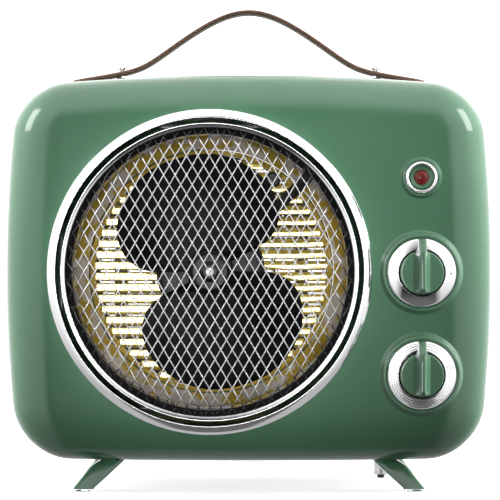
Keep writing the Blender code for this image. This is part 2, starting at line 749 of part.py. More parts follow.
def build_safety_and_terminals():
    cut_out = [
        (0.0, 0.0036),
        (0.0032, 0.0036),
        (0.0044, 0.0020),
        (0.0044, -0.0036),
        (0.0, -0.0036),
    ]
    angle = math.radians(56.0)
    reach = RIB_PLATE_RADIUS - 0.0062
    place = (FAN_X + reach * math.cos(angle), RIB_PLATE_Y - 0.0039, FAN_Z + reach * math.sin(angle))
    turned("thermal_cut_out", cut_out, BLACK_PLASTIC, place, steps=TINY_STEPS)
    block = box("terminal_block", TERMINAL_SIZE, CREAM_PLASTIC, (TERMINAL_X, TERMINAL_Y, TERMINAL_Z))
    add_bevel(block, 0.0012)
    bracket_y = TERMINAL_Y - TERMINAL_SIZE[1] / 2 - GAP - BRACKET_THICKNESS / 2
    size = (0.0360, BRACKET_THICKNESS, 0.1240)
    box("control_bracket", size, STEEL, (CONTROL_X, bracket_y, 0.1150))


# ---------------------------------------------------------------- rear grille and cord gland
INTAKE_RADIUS = 0.0700
GLAND_X = 0.0850
GLAND_Z = 0.0560
GLAND_NECK_RADIUS = 0.0062
GLAND_BORE = 0.0036
BRACKET_THICKNESS = 0.0015


def build_rear_fittings():
    place = (FAN_X, BACK_Y - 0.0015, FAN_Z)
    slotted_disc("intake_grille", INTAKE_RADIUS - GAP, 0.0040, 0.0030, 0.0070, 0.0040, BLACK_PLASTIC, place)
    gland = [
        (0.0055, 0.0058),
        (0.0085, 0.0040),
        (0.0092, GAP),
        (GLAND_NECK_RADIUS, GAP),
        (GLAND_NECK_RADIUS, -0.0080),
        (GLAND_BORE, -0.0080),
        (GLAND_BORE, 0.0058),
    ]
    turned("cord_gland", gland, BLACK_PLASTIC, (GLAND_X, BACK_Y, GLAND_Z), FACING_BACK, steps=SMALL_STEPS)


# ---------------------------------------------------------------- controls
BUSH_RADIUS = 0.0046
SPINDLE_RADIUS = 0.0030
SWITCH_FRONT_Y = FACE_Y + WALL + GAP
SWITCH_SIZE = (0.0260, 0.0180, 0.0260)
DIAL_OUTER = 0.0184
DIAL_INNER = 0.0121
CAP_RADIUS = 0.0117
CAP_BACK = 0.0008
CAP_FRONT = 0.0062
GRIP_WIDTH = 0.0086
GRIP_BASE = 0.0044
CAP_BORE = GRIP_BASE - 0.0004
GRIP_FRONT = 0.0150
GRIP_DOWN = 0.0106
POINTER_UP = 0.0180
LENS_RADIUS = 0.0039


def knob_grip(name, axle):
    """The ridge across a knob. Its upper end runs out over the dial as the pointer."""
    bm = bmesh.new()
    bmesh.ops.create_cube(bm, size=1.0)
    bmesh.ops.subdivide_edges(
        bm,
        edges=[edge for edge in bm.edges if abs(edge.verts[0].co.y - edge.verts[1].co.y) > 0.5],
        cuts=3,
        use_grid_fill=True,
    )
    for vert in bm.verts:
        up = -GRIP_DOWN + (vert.co.y + 0.5) * (GRIP_DOWN + POINTER_UP)
        flank = 0.50 if up > CAP_RADIUS * 0.9 else 1.0
        width = GRIP_WIDTH * (flank if vert.co.z < 0.0 else 0.34)
        front = GRIP_FRONT if up < CAP_RADIUS * 0.9 else GRIP_FRONT * 0.62
        vert.co = (vert.co.x * width, up, GRIP_BASE if vert.co.z < 0.0 else front)
    return finish_object(name, mesh_from(bm, name, smooth=False), None, UPRIGHT, FACING_FRONT, axle)


def build_knob(name, z):
    """A cap and its spindle, which turn together, over a fixed dial and switch body."""
    axle = axis_empty(f"{name}_axis", (CONTROL_X, FACE_Y, z))
    cap = [
        (0.0, CAP_FRONT),
        (CAP_RADIUS - 0.0030, CAP_FRONT),
        (CAP_RADIUS - 0.0010, CAP_FRONT - 0.0008),
        (CAP_RADIUS, CAP_FRONT - 0.0024),
        (CAP_RADIUS, CAP_BACK),
        (SPINDLE_RADIUS + GAP, CAP_BACK),
        (SPINDLE_RADIUS + GAP, CAP_BORE),
        (0.0, CAP_BORE),
    ]
    knob = turned(f"{name}_cap", cap, ENAMEL, UPRIGHT, parent=axle, steps=24)
    join(knob, knob_grip(f"{name}_grip", axle))
    spindle_front = -(CAP_BORE - GAP)
    spindle_back = 0.0120
    cylinder(
        f"{name}_spindle",
        SPINDLE_RADIUS,
        spindle_back - spindle_front,
        BRONZE,
        (0.0, (spindle_front + spindle_back) / 2, 0.0),
        FACING_FRONT,
        axle,
        steps=TINY_STEPS,
    )
    dial = [
        (DIAL_OUTER - 0.0006, 0.0030),
        (DIAL_OUTER, 0.0024),
        (DIAL_OUTER, GAP),
        (DIAL_INNER, GAP),
        (DIAL_INNER, 0.0036),
        (DIAL_INNER + 0.0008, 0.0040),
    ]
    turned(f"{name}_dial", dial, CHROME, (CONTROL_X, FACE_Y, z), steps=24)
    middle = (CONTROL_X, SWITCH_FRONT_Y + SWITCH_SIZE[1] / 2, z)
    switch = box(f"{name}_switch", SWITCH_SIZE, BLACK_PLASTIC, middle)
    add_bevel(switch, 0.0010, segments=1)
    bush_length = WALL + 0.0018
    bush = cylinder(
        f"{name}_bush",
        BUSH_RADIUS,
        bush_length,
        None,
        (CONTROL_X, SWITCH_FRONT_Y + 0.0010 - bush_length / 2, z),
        FACING_FRONT,
    )
    join(switch, bush)
    drill(switch, f"{name}_bore", SPINDLE_RADIUS + GAP, 0.0260, (CONTROL_X, FACE_Y, z))


def build_lamp():
    """The pilot lamp: a chrome rim, a sunk dish, a domed lens and the holder behind."""
    place = (CONTROL_X, FACE_Y, LAMP_Z)
    rim = [
        (0.0088, 0.0030),
        (0.0094, 0.0022),
        (0.0094, GAP),
        (0.0077, GAP),
        (0.0077, 0.0024),
        (0.0081, 0.0030),
    ]
    turned("lamp_rim", rim, CHROME, place, steps=24)
    dish = [
        (0.0071, 0.0016),
        (0.0074, 0.0014),
        (0.0074, GAP),
        (LENS_RADIUS + GAP, GAP),
        (LENS_RADIUS + GAP, 0.0007),
    ]
    turned("lamp_dish", dish, ENAMEL, place, steps=24)
    lens = [
        (0.0, 0.0036),
        (LENS_RADIUS * 0.50, 0.0032),
        (LENS_RADIUS * 0.87, 0.0022),
        (LENS_RADIUS, 0.0008),
        (LENS_RADIUS, -0.0060),
        (0.0, -0.0060),
    ]
    turned("lamp_lens", lens, RED_LENS, place, steps=SMALL_STEPS)
    front = -(WALL + GAP)
    holder = [
        (0.0, -0.0064),
        (LENS_RADIUS + GAP, -0.0064),
        (LENS_RADIUS + GAP, front),
        (0.0062, front),
        (0.0062, -0.0190),
        (0.0, -0.0190),
    ]
    turned("lamp_holder", holder, CREAM_PLASTIC, place, steps=TINY_STEPS)


# ---------------------------------------------------------------- tip-over switch
TIP_TUBE_RADIUS = 0.0039
TIP_BORE = 0.0030
TIP_TUBE_BASE = 0.0023
TIP_TUBE_TOP = 0.0300
PLUNGER_RADIUS = 0.0021
PLUNGER_FOOT = 0.0003           # the pin's end at rest, on the floor
PLUNGER_HEAD = 0.0092
SPRING_TOP = 0.0277
SPRING_WIRE = 0.00035
SPRING_TURNS = 5


def build_tip_switch():
    """A sprung pin that drops when the heater leaves the floor, and the switch above it."""
    inner_floor = BODY_MID_Z - BODY_HALF_HEIGHT + WALL + 0.0012
    housing = [
        (0.0, TIP_TUBE_TOP),
        (0.0045, TIP_TUBE_TOP),
        (0.0045, inner_floor + 0.0022),
        (0.0070, inner_floor + 0.0022),
        (0.0070, inner_floor),
        (TIP_TUBE_RADIUS, inner_floor),
        (TIP_TUBE_RADIUS, TIP_TUBE_BASE),
        (PLUNGER_RADIUS + GAP, TIP_TUBE_BASE),
        (PLUNGER_RADIUS + GAP, TIP_TUBE_BASE + 0.0015),
        (TIP_BORE, TIP_TUBE_BASE + 0.0015),
        (TIP_BORE, TIP_TUBE_TOP - 0.0020),
        (0.0, TIP_TUBE_TOP - 0.0020),
    ]
    place = (TIP_SWITCH_X, TIP_SWITCH_Y, 0.0)
    turned("tip_switch_housing", housing, STEEL, place, UPRIGHT, steps=SMALL_STEPS)
    axle = axis_empty("tip_plunger_axis", (TIP_SWITCH_X, TIP_SWITCH_Y, PLUNGER_FOOT))
    pin = [
        (0.0, PLUNGER_HEAD - PLUNGER_FOOT),
        (TIP_BORE - GAP, PLUNGER_HEAD - PLUNGER_FOOT),
        (TIP_BORE - GAP, PLUNGER_HEAD - PLUNGER_FOOT - 0.0010),
        (PLUNGER_RADIUS, PLUNGER_HEAD - PLUNGER_FOOT - 0.0010),
        (PLUNGER_RADIUS, 0.0005),
        (PLUNGER_RADIUS - 0.0005, 0.0),
        (0.0, 0.0),
    ]
    turned("tip_plunger", pin, BLACK_PLASTIC, UPRIGHT, UPRIGHT, axle, steps=TINY_STEPS)
    radius = TIP_BORE - GAP - SPRING_WIRE
    bottom = PLUNGER_HEAD + GAP + SPRING_WIRE
    top = SPRING_TOP - SPRING_WIRE
    steps_per_turn = 8
    count = SPRING_TURNS * steps_per_turn
    coil = []
    for step in range(count + 1):
        angle = math.tau * step / steps_per_turn
        height = bottom + (top - bottom) * step / count
        x = TIP_SWITCH_X + radius * math.cos(angle)
        coil.append(Vector((x, TIP_SWITCH_Y + radius * math.sin(angle), height)))
    tube("tip_spring", coil, SPRING_WIRE, STEEL, resolution=0)
    size = (0.0200, 0.0080, 0.0110)
    middle = (TIP_SWITCH_X, TIP_SWITCH_Y, TIP_TUBE_TOP + GAP + size[2] / 2)
    switch = box("tip_microswitch", size, BLACK_PLASTIC, middle)
    add_bevel(switch, 0.0006, segments=1)


# ---------------------------------------------------------------- feet
FOOT_LIP = 0.0012               # straight edge at the sole


def build_foot(name, side, end):
    """A tapered leg that leans outwards. side is -1 or 1 in X, and end is -1 or 1 in Y."""
    top_z = BODY_MID_Z - BODY_HALF_HEIGHT - GAP
    bm = bmesh.new()
    bmesh.ops.create_cone(
        bm,
        cap_ends=True,
        segments=SMALL_STEPS,
        radius1=FOOT_BASE_RADIUS,
        radius2=FOOT_TOP_RADIUS,
        depth=top_z - FOOT_LIP,
        matrix=Matrix.Translation((0.0, 0.0, (top_z + FOOT_LIP) / 2)),
    )
    sole = [face for face in bm.faces if face.normal.z < -0.9]
    pressed = bmesh.ops.extrude_face_region(bm, geom=sole)
    low = [item for item in pressed["geom"] if isinstance(item, bmesh.types.BMVert)]
    bmesh.ops.translate(bm, verts=low, vec=(0.0, 0.0, -FOOT_LIP))
    bmesh.ops.delete(bm, geom=sole, context="FACES")
    for vert in bm.verts:
        lean = 1.0 - max(0.0, vert.co.z - FOOT_LIP) / (top_z - FOOT_LIP)
        vert.co.x += side * FOOT_SPLAY * lean
        vert.co.y += end * FOOT_STRIDE * lean
    finish_object(name, mesh_from(bm, name), CHROME, (side * FOOT_X, end * FOOT_Y, 0.0))


def build_feet():
    for side, side_name in SIDES.items():
        for end, end_name in ((-1.0, "front"), (1.0, "rear")):
            build_foot(f"foot_{end_name}_{side_name}", side, end)


# ---------------------------------------------------------------- carrying strap
STUD_RADIUS = 0.0018
STUD_HEAD_RADIUS = 0.0040
STUD_HEAD = 0.0021
SPACER_RADIUS = 0.0040
SPACER_BORE = STUD_RADIUS + GAP
STRAP_PIECES = 36


def strap_height(x):
    """Height of the strap's upper face: a rounded crest that runs down onto two seats."""
    crest = math.sqrt(x * x + STRAP_CREST_RADIUS**2) - STRAP_CREST_RADIUS
    arch = STRAP_TOP_Z - STRAP_FLANK_SLOPE * crest
    seat = STRAP_SEAT_Z - STRAP_SEAT_SLOPE * (abs(x) - STUD_X)
    return (arch + seat + math.sqrt((arch - seat) ** 2 + STRAP_BLEND**2)) / 2


def build_strap():
    """A leather strap: a ribbon along strap_height, with rounded ends and two stud holes."""
    bm = bmesh.new()
    bmesh.ops.create_grid(bm, x_segments=STRAP_PIECES, y_segments=3, size=1.0)
    for vert in bm.verts:
        x = STRAP_END_X * math.sin(vert.co.x * math.radians(75.0)) / math.sin(math.radians(75.0))
        from_end = STRAP_END_X - abs(x)
        rounding = STRAP_WIDTH * 0.35
        pinch = max(0.0, 1.0 - from_end / rounding)
        y = vert.co.y * STRAP_WIDTH / 2 * (1.0 - 0.45 * pinch**2.2)
        vert.co = (x, y, strap_height(x))
    strap = finish_object("handle_strap", mesh_from(bm, "handle_strap"), LEATHER)
    solidify = strap.modifiers.new("Leather", "SOLIDIFY")
    solidify.thickness = STRAP_THICKNESS
    solidify.offset = -1.0
    for side, name in SIDES.items():
        place = (side * STUD_X, 0.0, STRAP_SEAT_Z)
        drill(strap, f"strap_hole_{name}", STUD_RADIUS + 2 * GAP, 0.016, place, UPRIGHT, steps=HOLE_STEPS)


def build_studs():
    head_z = strap_height(STUD_X - STUD_HEAD_RADIUS) + GAP
    spacer_top = strap_height(STUD_X + SPACER_RADIUS) - STRAP_THICKNESS - 2 * GAP
    inside = (STUD_X - SPACER_RADIUS) / BODY_HALF_WIDTH
    spacer_base = BODY_MID_Z + BODY_HALF_HEIGHT * (1.0 - TOP_BOW * inside**2) + GAP
    stud = [
        (0.0, head_z + STUD_HEAD),
        (STUD_HEAD_RADIUS * 0.7, head_z + STUD_HEAD),
        (STUD_HEAD_RADIUS, head_z + STUD_HEAD * 0.65),
        (STUD_HEAD_RADIUS, head_z),
        (STUD_RADIUS, head_z),
        (STUD_RADIUS, spacer_base - 0.0120),
        (0.0, spacer_base - 0.0120),
    ]
    spacer = [
        (SPACER_RADIUS, spacer_top),
        (SPACER_RADIUS, spacer_base),
        (SPACER_BORE, spacer_base),
        (SPACER_BORE, spacer_top),
    ]
    for side, name in SIDES.items():
        place = (side * STUD_X, 0.0, 0.0)
        turned(f"strap_stud_{name}", stud, CHROME, place, UPRIGHT, steps=TINY_STEPS)
        turned(f"strap_spacer_{name}", spacer, BLACK_PLASTIC, place, UPRIGHT, steps=TINY_STEPS)


# ---------------------------------------------------------------- the heater
def build_heater():
    build_casing()
    build_rear_cover()
    build_cover_screws()
    build_outlet_trim()
    build_mesh_grille()
    build_duct()
    build_rib_plate()
    build_element()
    axle = axis_empty("fan_axis", (FAN_X, FAN_MID_Y, FAN_Z))
    build_fan(axle)
    build_shaft(axle)
    build_motor_case()
    build_motor_windings()
    build_motor_lead()
    build_safety_and_terminals()
    build_rear_fittings()
    build_knob("selector", SELECTOR_Z)
    build_knob("thermostat", THERMOSTAT_Z)
    build_lamp()
    build_tip_switch()
    build_feet()
    build_strap()
    build_studs()


build_heater()
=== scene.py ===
"""Looks for the retro ceramic fan heater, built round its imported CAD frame.

Everything is in metres, in the frame's own axes: the heater faces -Y, +X is to its right
seen from the front, and it stands on z = 0.
"""
import json
import math

import bmesh
import bpy
import numpy as np
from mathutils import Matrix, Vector


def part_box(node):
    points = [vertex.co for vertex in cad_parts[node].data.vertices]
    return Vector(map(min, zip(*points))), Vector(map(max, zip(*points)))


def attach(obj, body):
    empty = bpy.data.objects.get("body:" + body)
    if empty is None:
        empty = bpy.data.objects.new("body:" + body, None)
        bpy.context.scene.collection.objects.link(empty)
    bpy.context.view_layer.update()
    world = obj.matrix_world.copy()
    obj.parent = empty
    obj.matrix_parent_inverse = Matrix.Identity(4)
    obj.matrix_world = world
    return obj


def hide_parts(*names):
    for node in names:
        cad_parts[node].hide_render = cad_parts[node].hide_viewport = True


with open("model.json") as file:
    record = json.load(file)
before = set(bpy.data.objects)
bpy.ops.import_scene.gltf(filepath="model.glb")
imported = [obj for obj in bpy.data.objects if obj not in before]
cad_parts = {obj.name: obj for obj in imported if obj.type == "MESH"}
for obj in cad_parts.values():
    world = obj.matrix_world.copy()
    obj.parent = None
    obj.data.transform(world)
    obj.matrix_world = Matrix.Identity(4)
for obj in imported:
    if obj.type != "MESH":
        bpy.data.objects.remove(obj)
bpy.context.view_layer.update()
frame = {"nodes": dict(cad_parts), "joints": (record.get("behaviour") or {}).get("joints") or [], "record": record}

# ---------------- measures
GAP = 0.0003                     # air that touching parts keep

HALF_WIDTH = 0.1300              # the casing seen from the front
HALF_HEIGHT = 0.1036
MID_Z = 0.1191
TOP_CORNER = 0.0268
BASE_CORNER = 0.0298
SIDE_BOW = 0.0485                # share by which the sides draw in at the top and base
TOP_BOW = 0.0586                 # share by which the top drops at its ends
BASE_BOW = 0.0154
FACE_FILLET = 0.0220             # depth of the rounding behind the face
FACE_SOFTNESS = 0.0250           # how far the rounding reaches in over the face
BACK_FILLET = 0.0200
BACK_SOFTNESS = 0.0230
FACE_CROWN = 0.0016              # how far the edge of the face falls back behind its middle
FACE_Y = -0.0680
SEAM_Y = 0.0530
BACK_Y = 0.0765
WALL = 0.0012
MOUTH_RADIUS = 0.0826            # of the outlet's hole in the face
INTAKE_RADIUS = 0.0700

FAN_AXIS = next(Vector(joint["pos_m"]) for joint in frame["joints"] if joint["name"] == "fan_spin")
FAN_X, FAN_Y, FAN_Z = FAN_AXIS
OUTLET = (FAN_X, FACE_Y, FAN_Z)  # middle of the outlet, in the plane of the face
CONTROL_X = 0.0915
LAMP_Z = 0.1672
KNOBS = {"selector": 0.1168, "thermostat": 0.0627}
SIDES = {-1.0: "left", 1.0: "right"}

FRONT = Vector((0.0, -1.0, 0.0))
BACK = Vector((0.0, 1.0, 0.0))
UP = Vector((0.0, 0.0, 1.0))

FINE_STEPS = 192                 # facets round a large turned part
ROUND_STEPS = 96                 # round a knob or a lamp
SMALL_STEPS = 48                 # round a screw or a stud
SHARP = 38.0                     # degrees above which an edge is shaded sharp


# ---------------- material building
def add_node(tree, kind, inputs, output=0, operation=None):
    """Adds a node, links or sets those of its inputs that are given, and returns one of its outputs."""
    node = tree.nodes.new(kind)
    if operation:
        node.operation = operation
    for socket, value in inputs.items():
        if isinstance(value, bpy.types.NodeSocket):
            tree.links.new(value, node.inputs[socket])
        else:
            node.inputs[socket].default_value = value
    return node.outputs[output]


def map_range(tree, value, low, high, first, second):
    """Maps value from low..high onto first..second."""
    limits = {"From Min": low, "From Max": high, "To Min": first, "To Max": second}
    return add_node(tree, "ShaderNodeMapRange", {"Value": value, **limits})


def math_node(tree, operation, first, second):
    return add_node(tree, "ShaderNodeMath", {0: first, 1: second}, operation=operation)


class Finish:
    """A Principled material whose colour, roughness and relief come from procedural nodes."""

    def __init__(self, name, roughness, metallic=0.0, **sockets):
        self.material = bpy.data.materials.new(name)
        self.material.use_nodes = True
        self.tree = self.material.node_tree
        self.shader = self.tree.nodes["Principled BSDF"]
        self.shader.inputs["Roughness"].default_value = roughness
        self.shader.inputs["Metallic"].default_value = metallic
        for socket, value in sockets.items():
            self.shader.inputs[socket.replace("_", " ")].default_value = value
        self.place = add_node(self.tree, "ShaderNodeTexCoord", {}, "Object")
        self.relief = None

    def feed(self, socket, source):
        self.tree.links.new(source, self.shader.inputs[socket])

    def noise(self, size, detail=3.0, stretch=None, distortion=0.0):
        """Noise whose features are about that many metres across. stretch scales it along each axis."""
        place = self.place
        if stretch:
            place = add_node(self.tree, "ShaderNodeMapping", {"Vector": place, "Scale": stretch})
        look = {"Scale": 1.0 / size, "Detail": detail, "Distortion": distortion}
        return add_node(self.tree, "ShaderNodeTexNoise", {"Vector": place, **look})

    def cells(self, size):
        """Rounded cells about that many metres across."""
        return add_node(self.tree, "ShaderNodeTexVoronoi", {"Vector": self.place, "Scale": 1.0 / size})

    def ramp(self, value, low, high, first, second):
        """Maps value from low..high onto two colours."""
        node = self.tree.nodes.new("ShaderNodeValToRGB")
        for element, position, colour in zip(node.color_ramp.elements, (low, high), (first, second)):
            element.position = position
            element.color = (*colour, 1.0)
        self.tree.links.new(value, node.inputs["Fac"])
        return node.outputs["Color"]

    def distance(self, x, z):
        """Distance from a line along Y through that x and z, in metres."""
        kind = "ShaderNodeVectorMath"
        flat = add_node(self.tree, kind, {0: self.place, 1: (1.0, 0.0, 1.0)}, "Vector", "MULTIPLY")
        return add_node(self.tree, kind, {0: flat, 1: (x, 0.0, z)}, "Value", "DISTANCE")

    def edges(self, low, high):
        """0 on flat surface, 1 on convex edges."""
        pointiness = add_node(self.tree, "ShaderNodeNewGeometry", {}, "Pointiness")
        return map_range(self.tree, pointiness, low, high, 0.0, 1.0)

    def mix(self, share, first, colour):
        """first where share is 0, and that colour where it is 1."""
        node = self.tree.nodes.new("ShaderNodeMix")
        node.data_type = "RGBA"
        from_socket, to_socket = [item for item in node.inputs if item.type == "RGBA"]
        self.tree.links.new(share, node.inputs["Factor"])
        self.tree.links.new(first, from_socket)
        to_socket.default_value = (*colour, 1.0)
        return next(item for item in node.outputs if item.type == "RGBA")

    def mottled(self, patch, dark, light, detail=3.0, low=0.3, high=0.7):
        """A colour that drifts from dark to light in patches of that size."""
        self.feed("Base Color", self.ramp(self.noise(patch, detail), low, high, dark, light))

    def uneven(self, patch, smooth, rough, detail=4.0, low=0.3, high=0.7):
        """A roughness that drifts from smooth to rough in patches of that size."""
        self.feed("Roughness", map_range(self.tree, self.noise(patch, detail), low, high, smooth, rough))

    def bump(self, value, metres, strength=1.0):
        """Adds relief of that height in metres."""
        inputs = {"Distance": metres, "Strength": strength, "Height": value}
        if self.relief is not None:
            inputs["Normal"] = self.relief
        self.relief = add_node(self.tree, "ShaderNodeBump", inputs)
        self.feed("Normal", self.relief)


def enamel(name, dark, light):
    """Stove enamel: even colour, a hard clear gloss and a trace of orange peel."""
    finish = Finish(name, 0.34, Specular_IOR_Level=0.2, Coat_Weight=1.0, Coat_Roughness=0.06, Coat_IOR=1.5)
    finish.mottled(0.060, dark, light, low=0.35, high=0.65)
    finish.uneven(0.012, 0.30, 0.38, detail=3.0)
    finish.bump(finish.noise(0.0030, 1.0), 0.000004)
    return finish.material


def chrome(name, shade, roughness):
    """Plated metal: bright, with faint smears."""
    finish = Finish(name, roughness, 1.0)
    dark = (shade * 0.97, shade * 0.97, shade * 0.985)
    finish.mottled(0.010, dark, (shade, shade, shade * 1.01))
    finish.uneven(0.006, roughness, roughness * 1.8, low=0.35, high=0.75)
    finish.bump(finish.noise(0.0040, 1.0), 0.000001)
    return finish.material


def wire_plate(name):
    """Bright plating on fine wire: part mirror, part satin, with painted shade that turns it black on the pan's
    steep flank near the rim.
    """
    finish = Finish(name, 0.22, 0.6)
    plated = finish.ramp(finish.noise(0.004, 4.0), 0.3, 0.7, (0.52, 0.52, 0.525), (0.64, 0.64, 0.645))
    # Painted shade: from 69 mm out from the outlet's axis, the wires' colour fades to near black.
    rim = map_range(finish.tree, finish.distance(FAN_X, FAN_Z), 0.0690, 0.0708, 0.0, 1.0)
    finish.feed("Base Color", finish.mix(rim, plated, (0.06, 0.06, 0.062)))
    finish.uneven(0.0015, 0.16, 0.32, detail=3.0)
    finish.bump(finish.noise(0.0008, 2.0), 0.000003)
    return finish.material


def metal(name, dark, light, patch, roughness, grain, stretch=None):
    """A plain worked metal: colour patches, uneven shine and a fine grain."""
    finish = Finish(name, roughness, 1.0)
    finish.mottled(patch, dark, light, 4.0)
    finish.uneven(patch / 3, roughness * 0.8, roughness * 1.3)
    finish.bump(finish.noise(grain, 2.0, stretch), grain * 0.02)
    return finish.material


def plastic(name, dark, light, roughness, grain, height, specular=0.5):
    """A moulding: slight flow marks in its colour and a fine spark-eroded grain."""
    finish = Finish(name, roughness, Specular_IOR_Level=specular)
    finish.mottled(0.015, dark, light)
    finish.uneven(0.004, roughness * 0.85, roughness * 1.2)
    finish.bump(finish.noise(grain, 2.0), height)
    return finish.material


def leather(name):
    """Dyed strap leather: pores, creases, a mottled top and paler worn edges."""
    finish = Finish(name, 0.5, Specular_IOR_Level=0.22)
    mottle = finish.ramp(finish.noise(0.006, 5.0), 0.3, 0.7, (0.064, 0.026, 0.019), (0.112, 0.052, 0.038))
    finish.feed("Base Color", finish.mix(finish.edges(0.505, 0.56), mottle, (0.150, 0.088, 0.060)))
    finish.uneven(0.002, 0.38, 0.60)
    finish.bump(finish.cells(0.0009), 0.00006, 0.6)
    finish.bump(finish.noise(0.0035, 5.0, (1.0, 2.5, 1.0), 0.6), 0.00012, 0.5)
    return finish.material


def lens(name):
    """A dark red lens with a faint moulded grain."""
    finish = Finish(name, 0.26, Specular_IOR_Level=0.3, Coat_Weight=0.2, Coat_Roughness=0.10)
    finish.mottled(0.002, (0.13, 0.004, 0.002), (0.18, 0.006, 0.003))
    finish.uneven(0.001, 0.22, 0.32, detail=3.0)
    finish.bump(finish.cells(0.0009), 0.00002, 0.5)
    return finish.material


def reflector(name):
    """Polished aluminium with a painted reflection: its colour drifts in patches between gold and pale, standing
    in for the gold ribs it mirrors.
    """
    finish = Finish(name, 0.10, 0.3)
    # Painted reflection of the gold ribs, in patches of gold and pale.
    finish.mottled(0.012, (0.80, 0.58, 0.09), (0.95, 0.87, 0.80), 1.0, 0.47, 0.53)
    finish.uneven(0.004, 0.07, 0.14)
    finish.bump(finish.noise(0.0020, 2.0), 0.000003)
    return finish.material


def gold(name):
    """Bright gold anodising, drawn level, with a few darker heat marks."""
    finish = Finish(name, 0.06, 0.5, Coat_Weight=1.0, Coat_Roughness=0.04, Coat_IOR=2.1)
    finish.mottled(0.014, (0.68, 0.49, 0.06), (0.80, 0.60, 0.10), 4.0, high=0.75)
    finish.uneven(0.004, 0.04, 0.09)
    finish.bump(finish.noise(0.0012, 2.0, (0.05, 1.0, 1.0)), 0.000002)
    return finish.material


SLOT_FINISH = {
    "enamel": enamel("green_enamel", (0.074, 0.196, 0.108), (0.080, 0.207, 0.116)),
    "knob_plastic": enamel("green_moulding", (0.080, 0.200, 0.114), (0.086, 0.212, 0.122)),
    "chrome": chrome("bright_chrome", 0.80, 0.045),
    "mesh_wire": wire_plate("plated_wire"),
    "gold": gold("gold_anodised"),
    "polished_aluminium": reflector("polished_reflector"),
    "fan_plastic": plastic(
        "gloss_black", (0.003, 0.003, 0.004), (0.006, 0.006, 0.007), 0.14, 0.0020, 0.000004, 0.14
    ),
    "black_plastic": plastic(
        "matt_black", (0.011, 0.011, 0.012), (0.018, 0.018, 0.019), 0.34, 0.0006, 0.000012
    ),
    "lead_sleeve": plastic(
        "braided_sleeve", (0.010, 0.010, 0.010), (0.022, 0.022, 0.022), 0.55, 0.0005, 0.00006
    ),
    "steel": metal("zinc_plate", (0.42, 0.42, 0.43), (0.60, 0.60, 0.61), 0.004, 0.30, 0.0008),
    "copper": metal(
        "enamelled_copper", (0.45, 0.17, 0.07), (0.62, 0.27, 0.12), 0.003, 0.30, 0.0007, (1.0, 6.0, 1.0)
    ),
    "bronze": metal("sintered_bronze", (0.42, 0.28, 0.12), (0.56, 0.40, 0.20), 0.002, 0.42, 0.0004),
    "aluminium": metal(
        "rolled_aluminium", (0.66, 0.67, 0.69), (0.78, 0.79, 0.80), 0.008, 0.25, 0.0006, (1.0, 0.1, 1.0)
    ),
    "ptc_ceramic": plastic("grey_ceramic", (0.30, 0.27, 0.24), (0.42, 0.39, 0.35), 0.75, 0.0004, 0.00003),
    "leather": leather("strap_leather"),
    "lamp_red": lens("red_lens"),
    "cream_plastic": plastic(
        "cream_moulding", (0.62, 0.58, 0.48), (0.72, 0.68, 0.58), 0.42, 0.0008, 0.00001
    ),
}
SATIN_CHROME = chrome("turned_chrome", 0.78, 0.09)
# Dead black: the rubber of the mesh seal, and the painted shade in the gaps round the knob caps.
DEAD_BLACK = plastic("dead_black", (0.004, 0.004, 0.004), (0.008, 0.008, 0.008), 0.75, 0.0006, 0.000010, 0.1)


def finish_cad_nodes():
    """Gives every CAD node the finish of its slot. The ones that stay in view keep it."""
    slots = {row["node"]: row["material_slot"] for row in frame["record"]["subparts"]}
    for node, obj in frame["nodes"].items():
        for slot in obj.material_slots:
            slot.material = SLOT_FINISH[slots[node]]


# ---------------- mesh building
def shade(mesh, sharp):
    mesh.shade_smooth()
    mesh.set_sharp_from_angle(angle=math.radians(sharp))


def add_object(name, data):
    obj = bpy.data.objects.new(name, data)
    bpy.context.scene.collection.objects.link(obj)
    return obj


def mesh_object(name, body, material, sharp=SHARP):
    """A smooth-shaded object from the (verts, faces) of closed bodies, with its faces turned outwards."""
    verts, faces = body
    mesh = bpy.data.meshes.new(name)
    mesh.from_pydata([tuple(point) for point in verts], [], faces)
    bm = bmesh.new()
    bm.from_mesh(mesh)
    bmesh.ops.remove_doubles(bm, verts=bm.verts, dist=0.0000005)
    bmesh.ops.recalc_face_normals(bm, faces=bm.faces)
    bm.to_mesh(mesh)
    bm.free()
    shade(mesh, sharp)
    mesh.materials.append(material)
    return add_object(name, mesh)


def place(obj, node, slot, rides="housing"):
    """obj rides on that body. It stands for the CAD node, if there is one, which it hides. slot is not used."""
    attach(obj, rides)
    if node in frame["nodes"]:
        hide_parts(node)


def piece(name, slot, body, sharp=SHARP, rides="housing", finish=None):
    """Makes and places a piece from (verts, faces). finish is given where it isn't the slot's own."""
    place(mesh_object(name, body, finish or SLOT_FINISH[slot], sharp), name, slot, rides)


def turned_piece(name, slot, corners, centre, axis=FRONT, steps=ROUND_STEPS, pieces=5, **more):
    """A piece turned from an outline of (radius, reach, setback) corners."""
    piece(name, slot, turned(softened(corners, pieces), centre, axis, steps), **more)


def lofted(sections, closed=False):
    """(verts, faces) of a skin over equal rings of points, capped at its ends or closed in a loop."""
    count = len(sections[0])
    verts = [point for section in sections for point in section]
    faces = []
    rows = len(sections) if closed else len(sections) - 1
    for row in range(rows):
        low = row * count
        high = ((row + 1) % len(sections)) * count
        for column in range(count):
            after = (column + 1) % count
            faces.append((low + column, low + after, high + after, high + column))
    if not closed:
        faces.append(tuple(range(count)))
        faces.append(tuple(range(len(verts) - count, len(verts))))
    return verts, faces


def joined(*bodies):
    """One (verts, faces) from several."""
    verts = []
    faces = []
    for more_verts, more_faces in bodies:
        start = len(verts)
        verts.extend(more_verts)
        faces.extend(tuple(index + start for index in face) for face in more_faces)
    return verts, faces


